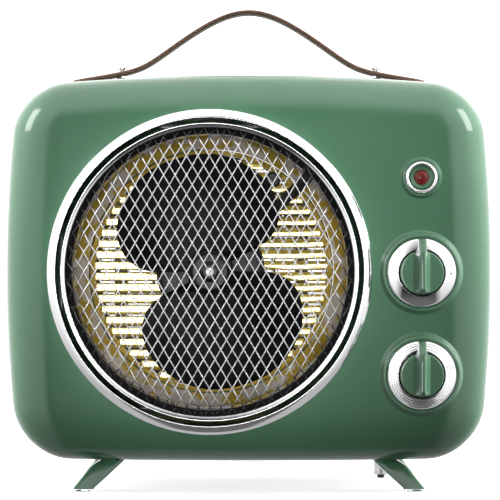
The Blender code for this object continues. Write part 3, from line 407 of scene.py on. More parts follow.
def softened(corners, pieces=5):
    """A closed outline through (across, along, setback) corners, each rounded from its setback on."""
    outline = []
    for index, (across, along, setback) in enumerate(corners):
        corner = Vector((across, along))
        if setback == 0.0:
            outline.append(tuple(corner))
            continue
        before = Vector(corners[index - 1][:2])
        after = Vector(corners[(index + 1) % len(corners)][:2])
        first = corner + (before - corner).normalized() * setback
        last = corner + (after - corner).normalized() * setback
        for step in range(pieces + 1):
            t = step / pieces
            outline.append(tuple(first * (1 - t) ** 2 + corner * 2 * t * (1 - t) + last * t**2))
    return outline


def turned(profile, centre, axis=FRONT, steps=ROUND_STEPS, base=None):
    """(verts, faces) of an outline of (radius, reach) points turned about axis through centre.

    base, where given, returns how far a point lies behind the plane of centre, so that
    a ring can follow a surface that isn't flat.
    """
    centre = Vector(centre)
    side = axis.orthogonal().normalized()
    other = axis.cross(side)
    sections = []
    for step in range(steps):
        angle = math.tau * step / steps
        out = side * math.cos(angle) + other * math.sin(angle)
        section = []
        for radius, reach in profile:
            point = centre + out * radius + axis * reach
            section.append(point - axis * base(point) if base else point)
        sections.append(section)
    return lofted(sections, closed=True)


def capsule_bar(start, end, half_width, half_depth, corner, pieces=4, bulge=0.0):
    """(verts, faces) of a level bar along X with rounded edges and ends, and a front that bulges."""
    ring = softened([
        (-half_depth, -half_width, corner), (half_depth, -half_width, corner),
        (half_depth, half_width, corner), (-half_depth, half_width, corner),
    ], pieces)
    flat = half_width - corner
    for share in (0.9, 0.6, 0.3, 0.0, -0.3, -0.6, -0.9):
        ring.append((-half_depth - bulge * (1.0 - share**2), flat * share))
    start = Vector(start)
    end = Vector(end)
    along = (end - start).normalized()
    tapers = ((0.0, 0.80), (0.35, 0.93), (1.0, 1.0), (2.0, 1.0))
    sections = []
    for tip, inwards, order in ((start, along, tapers), (end, -along, tapers[::-1])):
        for share, scale in order:
            middle = tip + inwards * corner * share
            sections.append([middle + BACK * y * scale + UP * z * scale for y, z in ring])
    return lofted(sections)


def tube(points, radius, sides):
    """(verts, faces) of a round tube through points, with flat ends."""
    sections = []
    across = None
    for index, point in enumerate(points):
        heading = (points[min(index + 1, len(points) - 1)] - points[max(index - 1, 0)]).normalized()
        if across is None:
            across = heading.orthogonal().normalized()
        across = (across - heading * across.dot(heading)).normalized()
        other = heading.cross(across)
        ring = []
        for side in range(sides):
            angle = math.tau * side / sides
            ring.append(point + (across * math.cos(angle) + other * math.sin(angle)) * radius)
        sections.append(ring)
    return lofted(sections)


def spoke(angle):
    """The direction at that angle in a plane that faces front, counted from +X towards +Z."""
    return Vector((math.cos(angle), 0.0, math.sin(angle)))


def rounded_square(turn, power):
    """(across, along) at that angle on a square of half-width 1 whose corners soften with power."""
    return [math.copysign(abs(value) ** power, value) for value in (math.cos(turn), math.sin(turn))]


def apply_modifiers(obj):
    depsgraph = bpy.context.evaluated_depsgraph_get()
    mesh = bpy.data.meshes.new_from_object(obj.evaluated_get(depsgraph))
    obj.modifiers.clear()
    obj.data = mesh


def boolean(obj, tool_body, operation="DIFFERENCE"):
    """Cuts tool_body out of obj, or joins it on, and applies the result."""
    tool = mesh_object("tool", tool_body, None)
    modifier = obj.modifiers.new("Cut", "BOOLEAN")
    modifier.operation = operation
    modifier.object = tool
    apply_modifiers(obj)
    bpy.data.objects.remove(tool)


# ---------------- casing
def outline(inset, scale):
    """The casing's outline, about its middle, moved in by inset and then scaled."""
    corner_pieces = 14
    edge_pieces = 26
    arcs = []
    for quarter, full in enumerate((TOP_CORNER, TOP_CORNER, BASE_CORNER, BASE_CORNER)):
        radius = max(full - inset, 0.0020)
        x = (HALF_WIDTH - inset - radius) * (1.0 if quarter in (0, 3) else -1.0)
        z = (HALF_HEIGHT - inset - radius) * (1.0 if quarter in (0, 1) else -1.0)
        arc = []
        for step in range(corner_pieces + 1):
            angle = math.radians(90.0 * (quarter + step / corner_pieces))
            arc.append((x + radius * math.cos(angle), z + radius * math.sin(angle)))
        arcs.append(arc)
    points = []
    for quarter, arc in enumerate(arcs):
        following = arcs[(quarter + 1) % 4][0]
        points.extend(arc)
        for step in range(1, edge_pieces):
            share = step / edge_pieces
            x = arc[-1][0] + (following[0] - arc[-1][0]) * share
            z = arc[-1][1] + (following[1] - arc[-1][1]) * share
            points.append((x, z))
    bowed = []
    for x, z in points:
        vertical = TOP_BOW if z > 0.0 else BASE_BOW
        across = x * (1.0 - SIDE_BOW * (z / HALF_HEIGHT) ** 2)
        up = z * (1.0 - vertical * (x / HALF_WIDTH) ** 2)
        bowed.append((across * scale, up * scale))
    return bowed


def crown(x, z):
    """How far the face lies behind its middle at that point, which is about the body's middle."""
    across = abs(x) / HALF_WIDTH
    up = abs(z) / HALF_HEIGHT
    return FACE_CROWN * (across**3 + up**3)


def face_base(point):
    """How far the casing's face lies behind FACE_Y at that point."""
    return crown(point.x, point.z - MID_Z)


def fillet_depth(inset, depth, width):
    """Depth behind the face at that distance in from the side, on a soft quarter round."""
    share = max(0.0, 1.0 - inset / width)
    power = 2.25
    return depth * (1.0 - (1.0 - share**power) ** (1.0 / power))


def half_shell(name, face_y, open_y, fillet, softness, inward):
    """One half of the casing: a wall, a soft rounding and a crowned face. inward is +1 or -1 in Y."""
    lip = 0.0009
    wall_start = open_y - inward * lip
    wall_end = face_y + inward * fillet
    rings = []
    for share in (0.0, 0.3, 1.0):
        rings.append((lip * (1.0 - share) ** 2, 1.0, open_y - inward * lip * share))
    for share in np.linspace(0.0, 1.0, 9)[1:]:
        rings.append((0.0, 1.0, wall_start + (wall_end - wall_start) * share))
    for share in np.linspace(0.0, 1.0, 27)[1:]:
        inset = softness * (1.0 - math.cos(share * math.pi / 2)) if share < 1.0 else softness
        rings.append((inset, 1.0, face_y + inward * fillet_depth(inset, fillet, softness)))
    for scale in np.linspace(1.0, 0.06, 26)[1:]:
        rings.append((softness, scale, face_y))
    sections = []
    for inset, scale, y in rings:
        near_face = 1.0 - min(1.0, abs(y - face_y) / fillet)
        section = []
        for x, z in outline(inset, scale):
            section.append(Vector((x, y + inward * crown(x, z) * near_face, z + MID_Z)))
        sections.append(section)
    verts, faces = lofted(sections)
    del faces[-2]                          # the cap over the open side
    shell = mesh_object(name, (verts, faces), SLOT_FINISH["enamel"])
    solidify = shell.modifiers.new("Wall", "SOLIDIFY")
    solidify.thickness = WALL
    solidify.offset = -1.0
    apply_modifiers(shell)
    return shell


def round_cutter(radius, half_length, centre):
    """(verts, faces) of a cylinder along Y, to cut a round hole with."""
    core = 0.0005
    profile = [(core, half_length), (radius, half_length), (radius, -half_length), (core, -half_length)]
    return turned(profile, centre, steps=FINE_STEPS)


def collar(z, outer, inner, height, shoulder):
    """(verts, faces) of a ring swelling softly out of the face round a control."""
    rise_pieces = 16
    fall_pieces = 6
    buried = -0.0010
    crest = inner + (outer - inner) * shoulder
    profile = []
    for step in range(rise_pieces + 1):
        share = step / rise_pieces
        radius = outer + (crest - outer) * share
        profile.append((radius, height * (0.5 - 0.5 * math.cos(math.pi * share)) + 0.00002))
    for step in range(1, fall_pieces + 1):
        angle = math.radians(90.0 * step / fall_pieces)
        profile.append((crest + (inner - crest) * math.sin(angle), height * (0.55 + 0.45 * math.cos(angle))))
    profile += [(inner, buried), (outer - 0.0004, buried)]
    return turned(profile, (CONTROL_X, FACE_Y, z), base=face_base)


def build_casing():
    casing = half_shell("front_casing", FACE_Y, SEAM_Y, FACE_FILLET, FACE_SOFTNESS, 1.0)
    boolean(casing, round_cutter(MOUTH_RADIUS, 0.020, OUTLET))
    shade(casing.data, SHARP)
    place(casing, "front_casing", "enamel")
    collars = joined(
        collar(LAMP_Z, 0.0112, 0.0088, 0.0024, 0.35),
        *(collar(z, 0.0226, 0.0187, 0.0029, 0.28) for z in KNOBS.values()),
    )
    piece("control_collars", "enamel", collars)


def screw_spots():
    """Where each cover screw's axis crosses the plane of the seam."""
    spots = {}
    for level in ("top", "base"):
        for side in SIDES.values():
            name = f"cover_screw_{level}_{side}"
            low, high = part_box(name)
            spots[name] = Vector(((low[0] + high[0]) / 2, SEAM_Y, (low[2] + high[2]) / 2))
    return spots


def build_rear_cover():
    cover = half_shell("rear_cover", BACK_Y, SEAM_Y + GAP, BACK_FILLET, BACK_SOFTNESS, -1.0)
    well = [(0.0001, -0.0010), (0.0085, -0.0010), (0.0085, -0.0205), (0.0001, -0.0205)]
    bore = softened([
        (0.0001, -0.0050, 0.0), (0.0041, -0.0050, 0.0), (0.0041, -0.0222, 0.0008),
        (0.0068, -0.0240, 0.0), (0.0068, -0.0300, 0.0), (0.0001, -0.0300, 0.0),
    ])
    spots = screw_spots().values()
    boolean(cover, joined(*(turned(well, spot, steps=SMALL_STEPS) for spot in spots)), "UNION")
    bores = [turned(bore, spot, steps=SMALL_STEPS) for spot in spots]
    boolean(cover, joined(*bores, round_cutter(INTAKE_RADIUS, 0.010, (FAN_X, BACK_Y, FAN_Z))))
    shade(cover.data, SHARP)
    place(cover, "rear_cover", "enamel")


def build_cover_screws():
    """Pan-head screws with a crossed recess, at the bottom of the cover's wells."""
    profile = softened([
        (0.0001, 0.0025, 0.0), (0.0034, 0.0025, 0.0012), (0.0035, 0.0, 0.0),
        (0.0016, 0.0, 0.0), (0.0016, -0.0140, 0.0), (0.0001, -0.0150, 0.0),
    ])
    for name, spot in screw_spots().items():
        seat = spot + BACK * (0.0050 + GAP)
        screw = mesh_object(f"{name}_head", turned(profile, seat, BACK, SMALL_STEPS), SLOT_FINISH["steel"])
        for turn in (0.4, 0.4 + math.pi / 2):
            out = spoke(turn)
            across = Vector((-out.z, 0.0, out.x)) * 0.0004
            sections = []
            for reach, half in ((0.0030, 0.0022), (0.0012, 0.0012)):
                middle = seat + BACK * reach
                ends = (middle + out * half, middle - out * half)
                sections.append([ends[0] + across, ends[1] + across, ends[1] - across, ends[0] - across])
            boolean(screw, lofted(sections))
        place(screw, name, "steel")


# ---------------- air outlet
MESH_RADIUS = 0.0761
MESH_RIM = -0.0038               # reach of the mesh at its rim
MESH_CROWN = 0.0155              # height of the pan over its rim
MESH_SHARPNESS = 12.0
MESH_SLOPE = math.radians(59.5)
MESH_PITCH = 0.00517             # between parallel wires
WIRE_RADIUS = 0.00034
WIRE_SIDES = 8
WEAVE = 0.00036                  # how far a wire swings over and under its neighbours


def build_outlet_trim():
    turned_piece("outlet_bezel", "chrome", [
        (0.0863, -0.0012, 0.0), (0.0863, 0.0022, 0.0007), (0.0840, 0.0046, 0.0017), (0.0816, 0.0052, 0.0004),
        (0.0814, 0.0020, 0.0), (0.0814, -0.0090, 0.0), (0.0823, -0.0090, 0.0), (0.0823, -0.0012, 0.0),
    ], OUTLET, steps=FINE_STEPS, pieces=8, sharp=50.0)
    turned_piece("mesh_clamp_ring", "chrome", [
        (0.0790, 0.0024, 0.0005), (0.0790, -0.0060, 0.0), (0.0768, -0.0060, 0.0), (0.0766, 0.0018, 0.0004),
    ], OUTLET, steps=FINE_STEPS, pieces=6, sharp=50.0, finish=SATIN_CHROME)
    turned_piece("mesh_seal", "black_plastic", [
        (0.0766, -0.0030, 0.0004), (0.0766, -0.0060, 0.0), (0.0735, -0.0060, 0.0), (0.0735, -0.0034, 0.0006),
    ], OUTLET, steps=FINE_STEPS, finish=DEAD_BLACK)


def pan_reach(radius):
    """Reach of the mesh pan in front of FACE_Y at that radius."""
    share = min(1.0, radius / MESH_RADIUS)
    return MESH_RIM + MESH_CROWN * math.sqrt(max(0.0, 1.0 - share**MESH_SHARPNESS))


def pan_point(across, up, lift):
    """A point on the mesh pan, lifted off it along its normal."""
    radius = math.hypot(across, up)
    step = 0.0002
    outer = min(radius + step, MESH_RADIUS)
    inner = max(outer - 2 * step, 0.0)
    slope = (pan_reach(outer) - pan_reach(inner)) / (outer - inner)
    length = math.hypot(1.0, slope)
    out = Vector((across / radius, 0.0, up / radius)) if radius > 0.0 else Vector()
    normal = (FRONT - out * slope) / length
    return Vector((FAN_X + across, FACE_Y - pan_reach(radius), FAN_Z + up)) + normal * lift


def mesh_wires(side):
    """Every wire of one family: side is -1 or 1, the way the family leans."""
    along = (math.cos(MESH_SLOPE), side * math.sin(MESH_SLOPE))
    normal = (math.sin(MESH_SLOPE), -side * math.cos(MESH_SLOPE))
    other = (math.sin(MESH_SLOPE), side * math.cos(MESH_SLOPE))
    reach = MESH_RADIUS - 0.0001
    lines = int(reach / MESH_PITCH)
    wires = []
    for line in range(-lines, lines + 1):
        offset = line * MESH_PITCH
        half = math.sqrt(reach**2 - offset**2)
        pieces = max(12, int(half * 2 / MESH_PITCH * 5))
        points = []
        for step in range(pieces + 1):
            t = half * math.sin(math.pi / 2 * (2 * step / pieces - 1))
            across = normal[0] * offset + along[0] * t
            up = normal[1] * offset + along[1] * t
            crossing = (across * other[0] + up * other[1]) / MESH_PITCH
            lift = side * WEAVE * math.cos(math.pi * (crossing + line))
            points.append(pan_point(across, up, lift))
        wires.append(tube(points, WIRE_RADIUS, WIRE_SIDES))
    return wires


# ---------------- duct and heating element
RIB_PLATE_Y = -0.0120
RIB_PLATE_RADIUS = 0.0667
RIB_SET_BACK = 0.0016            # middle of the ribs behind the front of their rim
RIB_FIELD_RADIUS = 0.0648        # the round field that the ribs fill
RIB_PITCH = 0.0061
RIB_HALF_WIDTH = 0.0026
RIB_HALF_DEPTH = 0.0014
RIB_CORNER = 0.0007
RIB_BULGE = 0.00006
REFLECTOR_DEPTH = 0.0106         # how far the ring round the ribs stands out in front of them


def build_duct():
    turned_piece("air_duct", "black_plastic", [
        (0.0772, -0.0063, 0.0), (0.0772, -0.0783, 0.0), (0.0750, -0.0783, 0.0), (0.0750, -0.0063, 0.0005),
    ], OUTLET, steps=FINE_STEPS, finish=SLOT_FINISH["fan_plastic"])
    turned_piece("reflector_ring", "polished_aluminium", [
        (0.0747, REFLECTOR_DEPTH, 0.0004), (0.0748, REFLECTOR_DEPTH - 0.0030, 0.0),
        (0.0686, -0.0004, 0.0), (0.0674, -0.0004, 0.0), (0.0674, 0.0006, 0.0004),
        (0.0710, REFLECTOR_DEPTH * 0.45, 0.0040), (0.0743, REFLECTOR_DEPTH, 0.0002),
    ], (FAN_X, RIB_PLATE_Y, FAN_Z), steps=FINE_STEPS, pieces=8)


def build_rib_plate():
    """Level gold ribs, each rounded at its front, in a flat rim."""
    rim = softened([
        (RIB_PLATE_RADIUS, -0.0012, 0.0002), (RIB_PLATE_RADIUS, -0.0030, 0.0),
        (0.0640, -0.0030, 0.0), (0.0640, 0.0, 0.0002),
    ])
    bodies = [turned(rim, (FAN_X, RIB_PLATE_Y, FAN_Z), steps=FINE_STEPS)]
    count = int(RIB_PLATE_RADIUS / RIB_PITCH)
    middle_y = RIB_PLATE_Y + RIB_SET_BACK
    for line in range(-count, count):
        level = (line + 0.5) * RIB_PITCH
        half = math.sqrt(RIB_FIELD_RADIUS**2 - min(abs(level), RIB_FIELD_RADIUS) ** 2)
        if half > 0.004:
            start = (FAN_X - half, middle_y, FAN_Z + level)
            end = (FAN_X + half, middle_y, FAN_Z + level)
            bodies.append(capsule_bar(start, end, RIB_HALF_WIDTH, RIB_HALF_DEPTH, RIB_CORNER, 6, RIB_BULGE))
    piece("rib_plate", "gold", joined(*bodies))


# ---------------- fan and motor
BLADE_MIDDLE = math.radians(103.5)
BLADE_HALF_SPAN = math.radians(77.0)
BLADE_LEAD = 0.0072
BLADE_ROOT = 0.0095
BLADE_SHOULDER = 0.0240
BLADE_CUP = 0.0012
BLADE_THICKNESS = 0.0018
FAN_TIP_RADIUS = 0.0633


def paddle(turn):
    """(verts, faces) of one helical paddle with rounded edges."""
    columns = 36
    rows = 60
    span = FAN_TIP_RADIUS - BLADE_ROOT
    front = []
    back = []
    for row in range(rows + 1):
        swing = math.sin(math.pi / 2 * (2.0 * row / rows - 1.0))
        for column in range(columns + 1):
            radius = BLADE_ROOT + span * math.sin(column / columns * math.pi / 2)
            narrowing = max(0.0, (radius - BLADE_SHOULDER) / (FAN_TIP_RADIUS - BLADE_SHOULDER))
            half_angle = BLADE_HALF_SPAN * math.sqrt(1.0 - 0.965 * narrowing**2.3)
            out = spoke(BLADE_MIDDLE + turn + swing * half_angle)
            edge = max(abs(swing), (radius / FAN_TIP_RADIUS) ** 3)
            cup = BLADE_CUP * math.sin(math.pi * (radius - BLADE_ROOT) / span)
            thickness = BLADE_THICKNESS / 2 * math.sqrt(max(0.0, 1.0 - edge**14)) + 0.00005
            reach = BLADE_LEAD * swing * half_angle - cup
            front.append(FAN_AXIS + out * radius + FRONT * (reach + thickness))
            back.append(FAN_AXIS + out * radius + FRONT * (reach - thickness))
    width = columns + 1
    faces = []
    for row in range(rows):
        for column in range(columns):
            corner = row * width + column
            faces.append((corner, corner + 1, corner + width + 1, corner + width))
            behind = (corner, corner + width, corner + width + 1, corner + 1)
            faces.append(tuple(len(front) + item for item in behind))
    border = [(row * width, (row + 1) * width) for row in range(rows)]
    border += [(rows * width + column, rows * width + column + 1) for column in range(columns)]
    border += [((row + 1) * width + columns, row * width + columns) for row in reversed(range(rows))]
    border += [(column + 1, column) for column in reversed(range(columns))]
    for first, second in border:
        faces.append((first, second, len(front) + second, len(front) + first))
    return front + back, faces


def build_fan():
    boss = softened([
        (0.0060, 0.0100, 0.0), (0.0125, 0.0100, 0.0035), (0.0125, -0.0100, 0.0010),
        (0.0023, -0.0100, 0.0), (0.0023, 0.0092, 0.0), (0.0060, 0.0092, 0.0),
    ], 8)
    body = joined(turned(boss, FAN_AXIS), paddle(0.0), paddle(math.pi))
    piece("fan_impeller", "fan_plastic", body, 60.0, "fan")


def build_motor_cup():
    turned_piece("motor_cup", "black_plastic", [
        (0.0034, 0.0, 0.0004), (0.0265, 0.0, 0.0020), (0.0295, -0.0030, 0.0015), (0.0295, -0.0205, 0.0),
        (0.0283, -0.0205, 0.0), (0.0283, -0.0036, 0.0010), (0.0260, -0.0012, 0.0008), (0.0072, -0.0012, 0.0),
        (0.0072, -0.0042, 0.0), (0.0053, -0.0042, 0.0), (0.0053, -0.0008, 0.0), (0.0034, -0.0008, 0.0),
    ], (FAN_X, -0.0350, FAN_Z))


# ---------------- controls
CAP_RADIUS = 0.0117
GRIP_LOW = -0.0108               # ends of the grip below and above its knob's axis
GRIP_HIGH = 0.0179
GRIP_ROOT = 0.0058               # reach at which the grip grows out of the cap
DIAL_INNER = 0.0125
DIAL_OUTER = 0.0184
DIAL_BACK = 0.0003
MARK_REACHES = (0.0030, 0.00436)
SELECTOR_MARKS = (               # degrees clockwise from the top, inner and outer radius, half-width
    (22.0, 0.0147, 0.0158, 0.00016),
    (45.0, 0.0148, 0.0156, 0.00018),
    (61.0, 0.0147, 0.0157, 0.00016),
    (75.0, 0.0148, 0.0156, 0.00024),
    (92.0, 0.0146, 0.0159, 0.00030),
)


def grip_section(up):
    """The grip's outline at that height over its knob's axis, as (across, reach) points."""
    flare = 1.0 / (1.0 + math.exp((up - 0.0112) / 0.0006))
    base_half = 0.0022 + 0.0024 * flare
    front_half = 0.0020 - 0.0008 * flare
    front = 0.0108 + 0.0040 / (1.0 + math.exp((up - 0.0135) / 0.0014))
    ending = 1.0
    for share in ((up - GRIP_LOW) / 0.0020, (GRIP_HIGH - up) / 0.0011):
        if share < 1.0:
            ending *= math.sqrt(max(0.0, 1.0 - (1.0 - share) ** 2))
    front = GRIP_ROOT + (front - GRIP_ROOT) * (0.25 + 0.75 * ending)
    base_half *= 0.72 + 0.28 * ending
    front_half *= 0.60 + 0.40 * ending
    waist = (front + GRIP_ROOT) / 2
    waist_half = front_half + (base_half - front_half) * 0.50
    return softened([
        (-base_half, 0.0044, 0.0), (-base_half, 0.0062, 0.0006), (-waist_half, waist, 0.0012),
        (-front_half, front, 0.0008), (front_half, front, 0.0008), (waist_half, waist, 0.0012),
        (base_half, 0.0062, 0.0006), (base_half, 0.0044, 0.0),
    ], 4)


def build_cap(name, z):
    centre = Vector((CONTROL_X, FACE_Y, z))
    profile = softened([
        (0.0001, 0.0060, 0.0), (0.0070, 0.0060, 0.0), (0.0103, 0.0060, 0.0),
        (CAP_RADIUS, 0.0060, 0.0010), (CAP_RADIUS, 0.0008, 0.0), (0.0001, 0.0008, 0.0),
    ], 8)
    heights = [GRIP_LOW + 0.0020 * (1 - math.cos(math.radians(9 * step))) for step in range(10)]
    heights += list(np.linspace(-0.0086, 0.0166, 60))
    heights += [0.0168 + 0.0011 * math.sin(math.radians(10 * step)) for step in range(10)]
    sections = []
    for up in heights:
        sections.append([centre + Vector((x, -reach, up)) for x, reach in grip_section(up)])
    body = joined(turned(profile, centre), lofted(sections))
    piece(f"{name}_cap", "knob_plastic", body, 50.0, name)


def dial_mark(z, clockwise, inner, outer, half_width):
    """(verts, faces) of an inlaid mark on the dial at that height."""
    out = spoke(math.radians(90.0 - clockwise))
    across = Vector((-out.z, 0.0, out.x))
    centre = Vector((CONTROL_X, FACE_Y, z))
    count = 16
    ring = []
    for step in range(count):
        along, side = rounded_square(math.tau * step / count, 0.5)
        radius = (inner + outer) / 2 + (outer - inner) / 2 * along
        ring.append(centre + out * radius + across * (half_width * side))
    return lofted([[point + FRONT * reach for point in ring] for reach in MARK_REACHES])


def build_dials():
    rim = [(0.0183, 0.0028, 0.0005), (DIAL_OUTER, DIAL_BACK, 0.0), (DIAL_INNER, DIAL_BACK, 0.0)]
    plain = [(DIAL_INNER, 0.0050, 0.0002), (0.0176, 0.0036, 0.0004)] + rim
    stepped = [(DIAL_INNER, 0.0050, 0.0002)]
    for radius, reach in ((0.0138, 0.0047), (0.0151, 0.0044), (0.0164, 0.0041)):
        stepped.append((radius, reach, 0.0002))
        stepped.append((radius + 0.0002, reach - 0.0003, 0.0001))
        stepped.append((radius + 0.0004, reach, 0.0001))
    stepped += [(0.0177, 0.0036, 0.0004)] + rim
    # Painted shade: a dead black ring fills the gap between each cap and its dial.
    gap = [(0.0110, 0.0006), (0.0128, 0.0006), (0.0128, 0.0002), (0.0110, 0.0002)]
    gaps = []
    for name, corners in (("selector", plain), ("thermostat", stepped)):
        centre = (CONTROL_X, FACE_Y, KNOBS[name])
        turned_piece(f"{name}_dial", "chrome", corners, centre, sharp=60.0)
        gaps.append(turned(gap, centre))
    piece("dial_gap_shade", "black_plastic", joined(*gaps), finish=DEAD_BLACK)
    marks = joined(*(dial_mark(KNOBS["selector"], *mark) for mark in SELECTOR_MARKS))
    piece("selector_marks", "black_plastic", marks)


def build_lamp():
    centre = (CONTROL_X, FACE_Y, LAMP_Z)
    turned_piece("lamp_rim", "chrome", [
        (0.0059, 0.0003, 0.0), (0.0070, 0.0031, 0.0002), (0.0075, 0.0034, 0.0003),
        (0.0086, 0.0023, 0.0006), (0.0086, 0.0003, 0.0),
    ], centre, sharp=60.0)
    turned_piece("lamp_dish", "enamel", [
        (0.0058, 0.0010, 0.0002), (0.0058, 0.0002, 0.0), (0.0042, 0.0002, 0.0),
        (0.0042, 0.0005, 0.0001), (0.0048, 0.0006, 0.0002), (0.0052, 0.0010, 0.0002),
    ], centre, sharp=60.0)
    dome = []
    for degrees in range(0, 91, 9):
        angle = math.radians(degrees)
        dome.append((0.0038 * math.sin(angle) + 0.0001, 0.0006 + 0.0018 * math.cos(angle)))
    dome += [(0.0039, -0.0060), (0.0001, -0.0060)]
    piece("lamp_lens", "lamp_red", turned(dome, centre), 60.0)


# ---------------- strap
STUD_X = 0.0708
STRAP_END_X = 0.0974
STRAP_WIDTH = 0.0150
STRAP_THICKNESS = 0.0023
STRAP_TONGUE = 0.0105            # length of the rounded end
STRAP_ARCH_Z = 0.2610
STRAP_ARCH_FALL = 0.93           # slope of the arch well away from its crest
STRAP_CREST = 0.0309             # the larger, the rounder the crest
STRAP_SEAT_Z = 0.2264            # height at a stud
STRAP_SEAT_FALL = 0.150
STRAP_BLEND = 0.0060             # roundness of the bend between arch and seat
STRAP_TOP = (                    # share of the half-width, and of the thickness below the top
    (1.000, 0.50), (0.985, 0.22), (0.930, 0.06), (0.860, 0.02), (0.845, 0.09), (0.825, 0.09),
    (0.810, 0.01), (0.650, 0.00), (0.450, 0.00), (0.250, 0.00), (0.080, 0.00),
)
STRAP_UNDER = ((0.080, 1.00), (0.450, 1.00), (0.850, 0.99), (0.960, 0.90), (0.990, 0.75))


def strap_height(x):
    """Height of the strap's upper face at its middle."""
    crest = math.sqrt(x * x + STRAP_CREST**2) - STRAP_CREST
    arch = STRAP_ARCH_Z - STRAP_ARCH_FALL * crest
    seat = STRAP_SEAT_Z - STRAP_SEAT_FALL * (abs(x) - STUD_X)
    return (arch + seat + math.sqrt((arch - seat) ** 2 + STRAP_BLEND**2)) / 2


def build_strap():
    """A folded and pressed strap with creased borders and rounded tongues."""
    steps = 180
    crowding = math.radians(82.0)
    ring = list(STRAP_TOP) + [(-y, drop) for y, drop in reversed(STRAP_TOP)]
    ring += [(-y, drop) for y, drop in reversed(STRAP_UNDER)] + list(STRAP_UNDER)
    sections = []
    for station in range(steps + 1):
        swing = 2.0 * station / steps - 1.0
        x = STRAP_END_X * math.sin(crowding * swing) / math.sin(crowding)
        from_end = max(0.0, STRAP_END_X - abs(x))
        pinch = max(0.0, 1.0 - from_end / STRAP_TONGUE)
        half = STRAP_WIDTH / 2 * math.sqrt(max(0.02, 1.0 - pinch**2.4))
        thin = 1.0 - 0.12 * pinch**3
        step = 0.0002
        slope = (strap_height(x + step) - strap_height(x - step)) / (2 * step)
        down = Vector((slope, 0.0, -1.0)) / math.hypot(1.0, slope)
        top = Vector((x, 0.0, strap_height(x)))
        sections.append([top + BACK * y * half + down * drop * STRAP_THICKNESS * thin for y, drop in ring])
    piece("handle_strap", "leather", lofted(sections), 60.0)


def build_studs():
    head_height = 0.0021
    for side, name in SIDES.items():
        low, high = (corner[2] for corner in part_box(f"strap_stud_{name}"))
        head = high - head_height
        axis = Vector((side * STUD_X, 0.0, 0.0))
        turned_piece(f"strap_stud_{name}", "chrome", [
            (0.0001, high, 0.0), (0.0022, high, 0.0005), (0.0026, head + 0.0014, 0.0003),
            (0.0026, head, 0.0003), (0.0018, head, 0.0), (0.0018, low, 0.0), (0.0001, low, 0.0),
        ], axis, UP, SMALL_STEPS, sharp=50.0)
        low, high = (corner[2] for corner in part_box(f"strap_spacer_{name}"))
        base = low - 0.0006
        turned_piece(f"strap_spacer_{name}", "black_plastic", [
            (0.0025, high, 0.0003), (0.0025, base, 0.0004), (0.0021, base, 0.0), (0.0021, high, 0.0),
        ], axis, UP, SMALL_STEPS)


# ---------------- feet and tip switch
FOOT_X = 0.0745
FOOT_Y = 0.0420
FOOT_SPLAY = 0.0140              # sideways reach of a foot
FOOT_STRIDE = 0.0108             # forward or backward reach of a foot
FOOT_TOP_Z = 0.0158
FOOT_HALF_BASE = 0.0057          # half-width on the floor
FOOT_HALF_GAIN = 0.0022          # what it gains towards the top
SOLE_THICKNESS = 0.0013


def foot_ring(side, end, z):
    """The foot's section at that height: flat-sided with soft corners."""
    rise = max(0.0, z - SOLE_THICKNESS) / (FOOT_TOP_Z - SOLE_THICKNESS)
    half = FOOT_HALF_BASE + FOOT_HALF_GAIN * rise
    shoulder = max(0.0, (rise - 0.72) / 0.28)
    middle = Vector((side * FOOT_X, end * FOOT_Y, z))
    middle.x += side * FOOT_SPLAY * (1.0 - rise)
    middle.y += end * FOOT_STRIDE * (1.0 - rise)
    ring = []
    for step in range(SMALL_STEPS):
        x, y = (share * half for share in rounded_square(math.tau * step / SMALL_STEPS, 0.42))
        if x * side > 0.0:
            x *= 1.0 - 0.30 * shoulder**2
        ring.append(middle + Vector((x, y, 0.0)))
    return ring


def build_feet():
    """Enamelled feet, each on a thin plated sole."""
    body_heights = [SOLE_THICKNESS, SOLE_THICKNESS + 0.0003]
    body_heights += list(np.linspace(0.0022, FOOT_TOP_Z + 0.0012, 24))
    for side, side_name in SIDES.items():
        for end, end_name in ((-1.0, "front"), (1.0, "rear")):
            name = f"foot_{end_name}_{side_name}"
            piece(name, "enamel", lofted([foot_ring(side, end, z) for z in body_heights]), 60.0)
            sections = []
            for z, scale in ((0.0, 1.00), (0.0002, 1.04), (0.0011, 1.04), (SOLE_THICKNESS, 1.01)):
                ring = foot_ring(side, end, z)
                middle = sum(ring, Vector()) / len(ring)
                sections.append([middle + (point - middle) * scale for point in ring])
            piece(f"{name}_sole", "chrome", lofted(sections), 60.0)


def build_tip_switch():
    low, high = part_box("tip_switch_housing")
    centre = Vector(((low[0] + high[0]) / 2, (low[1] + high[1]) / 2, 0.0))
    base = low[2]
    top = high[2]
    turned_piece("tip_switch_housing", "steel", [
        (0.0001, top, 0.0), (0.0045, top, 0.0006), (0.0045, 0.0210, 0.0), (0.0070, 0.0210, 0.0005),
        (0.0070, 0.0188, 0.0), (0.0039, 0.0188, 0.0), (0.0039, base, 0.0004), (0.0025, base, 0.0003),
        (0.0025, base + 0.0015, 0.0), (0.0031, base + 0.0015, 0.0), (0.0031, top - 0.0020, 0.0),
        (0.0001, top - 0.0020, 0.0),
    ], centre, UP, SMALL_STEPS)
    tip, top = (corner[2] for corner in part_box("tip_plunger"))
    turned_piece("tip_plunger", "black_plastic", [
        (0.0001, top, 0.0), (0.0027, top, 0.0003), (0.0027, top - 0.0010, 0.0),
        (0.0021, top - 0.0010, 0.0), (0.0021, tip, 0.0007), (0.0001, tip, 0.0),
    ], centre, UP, SMALL_STEPS, rides="tip_pin")


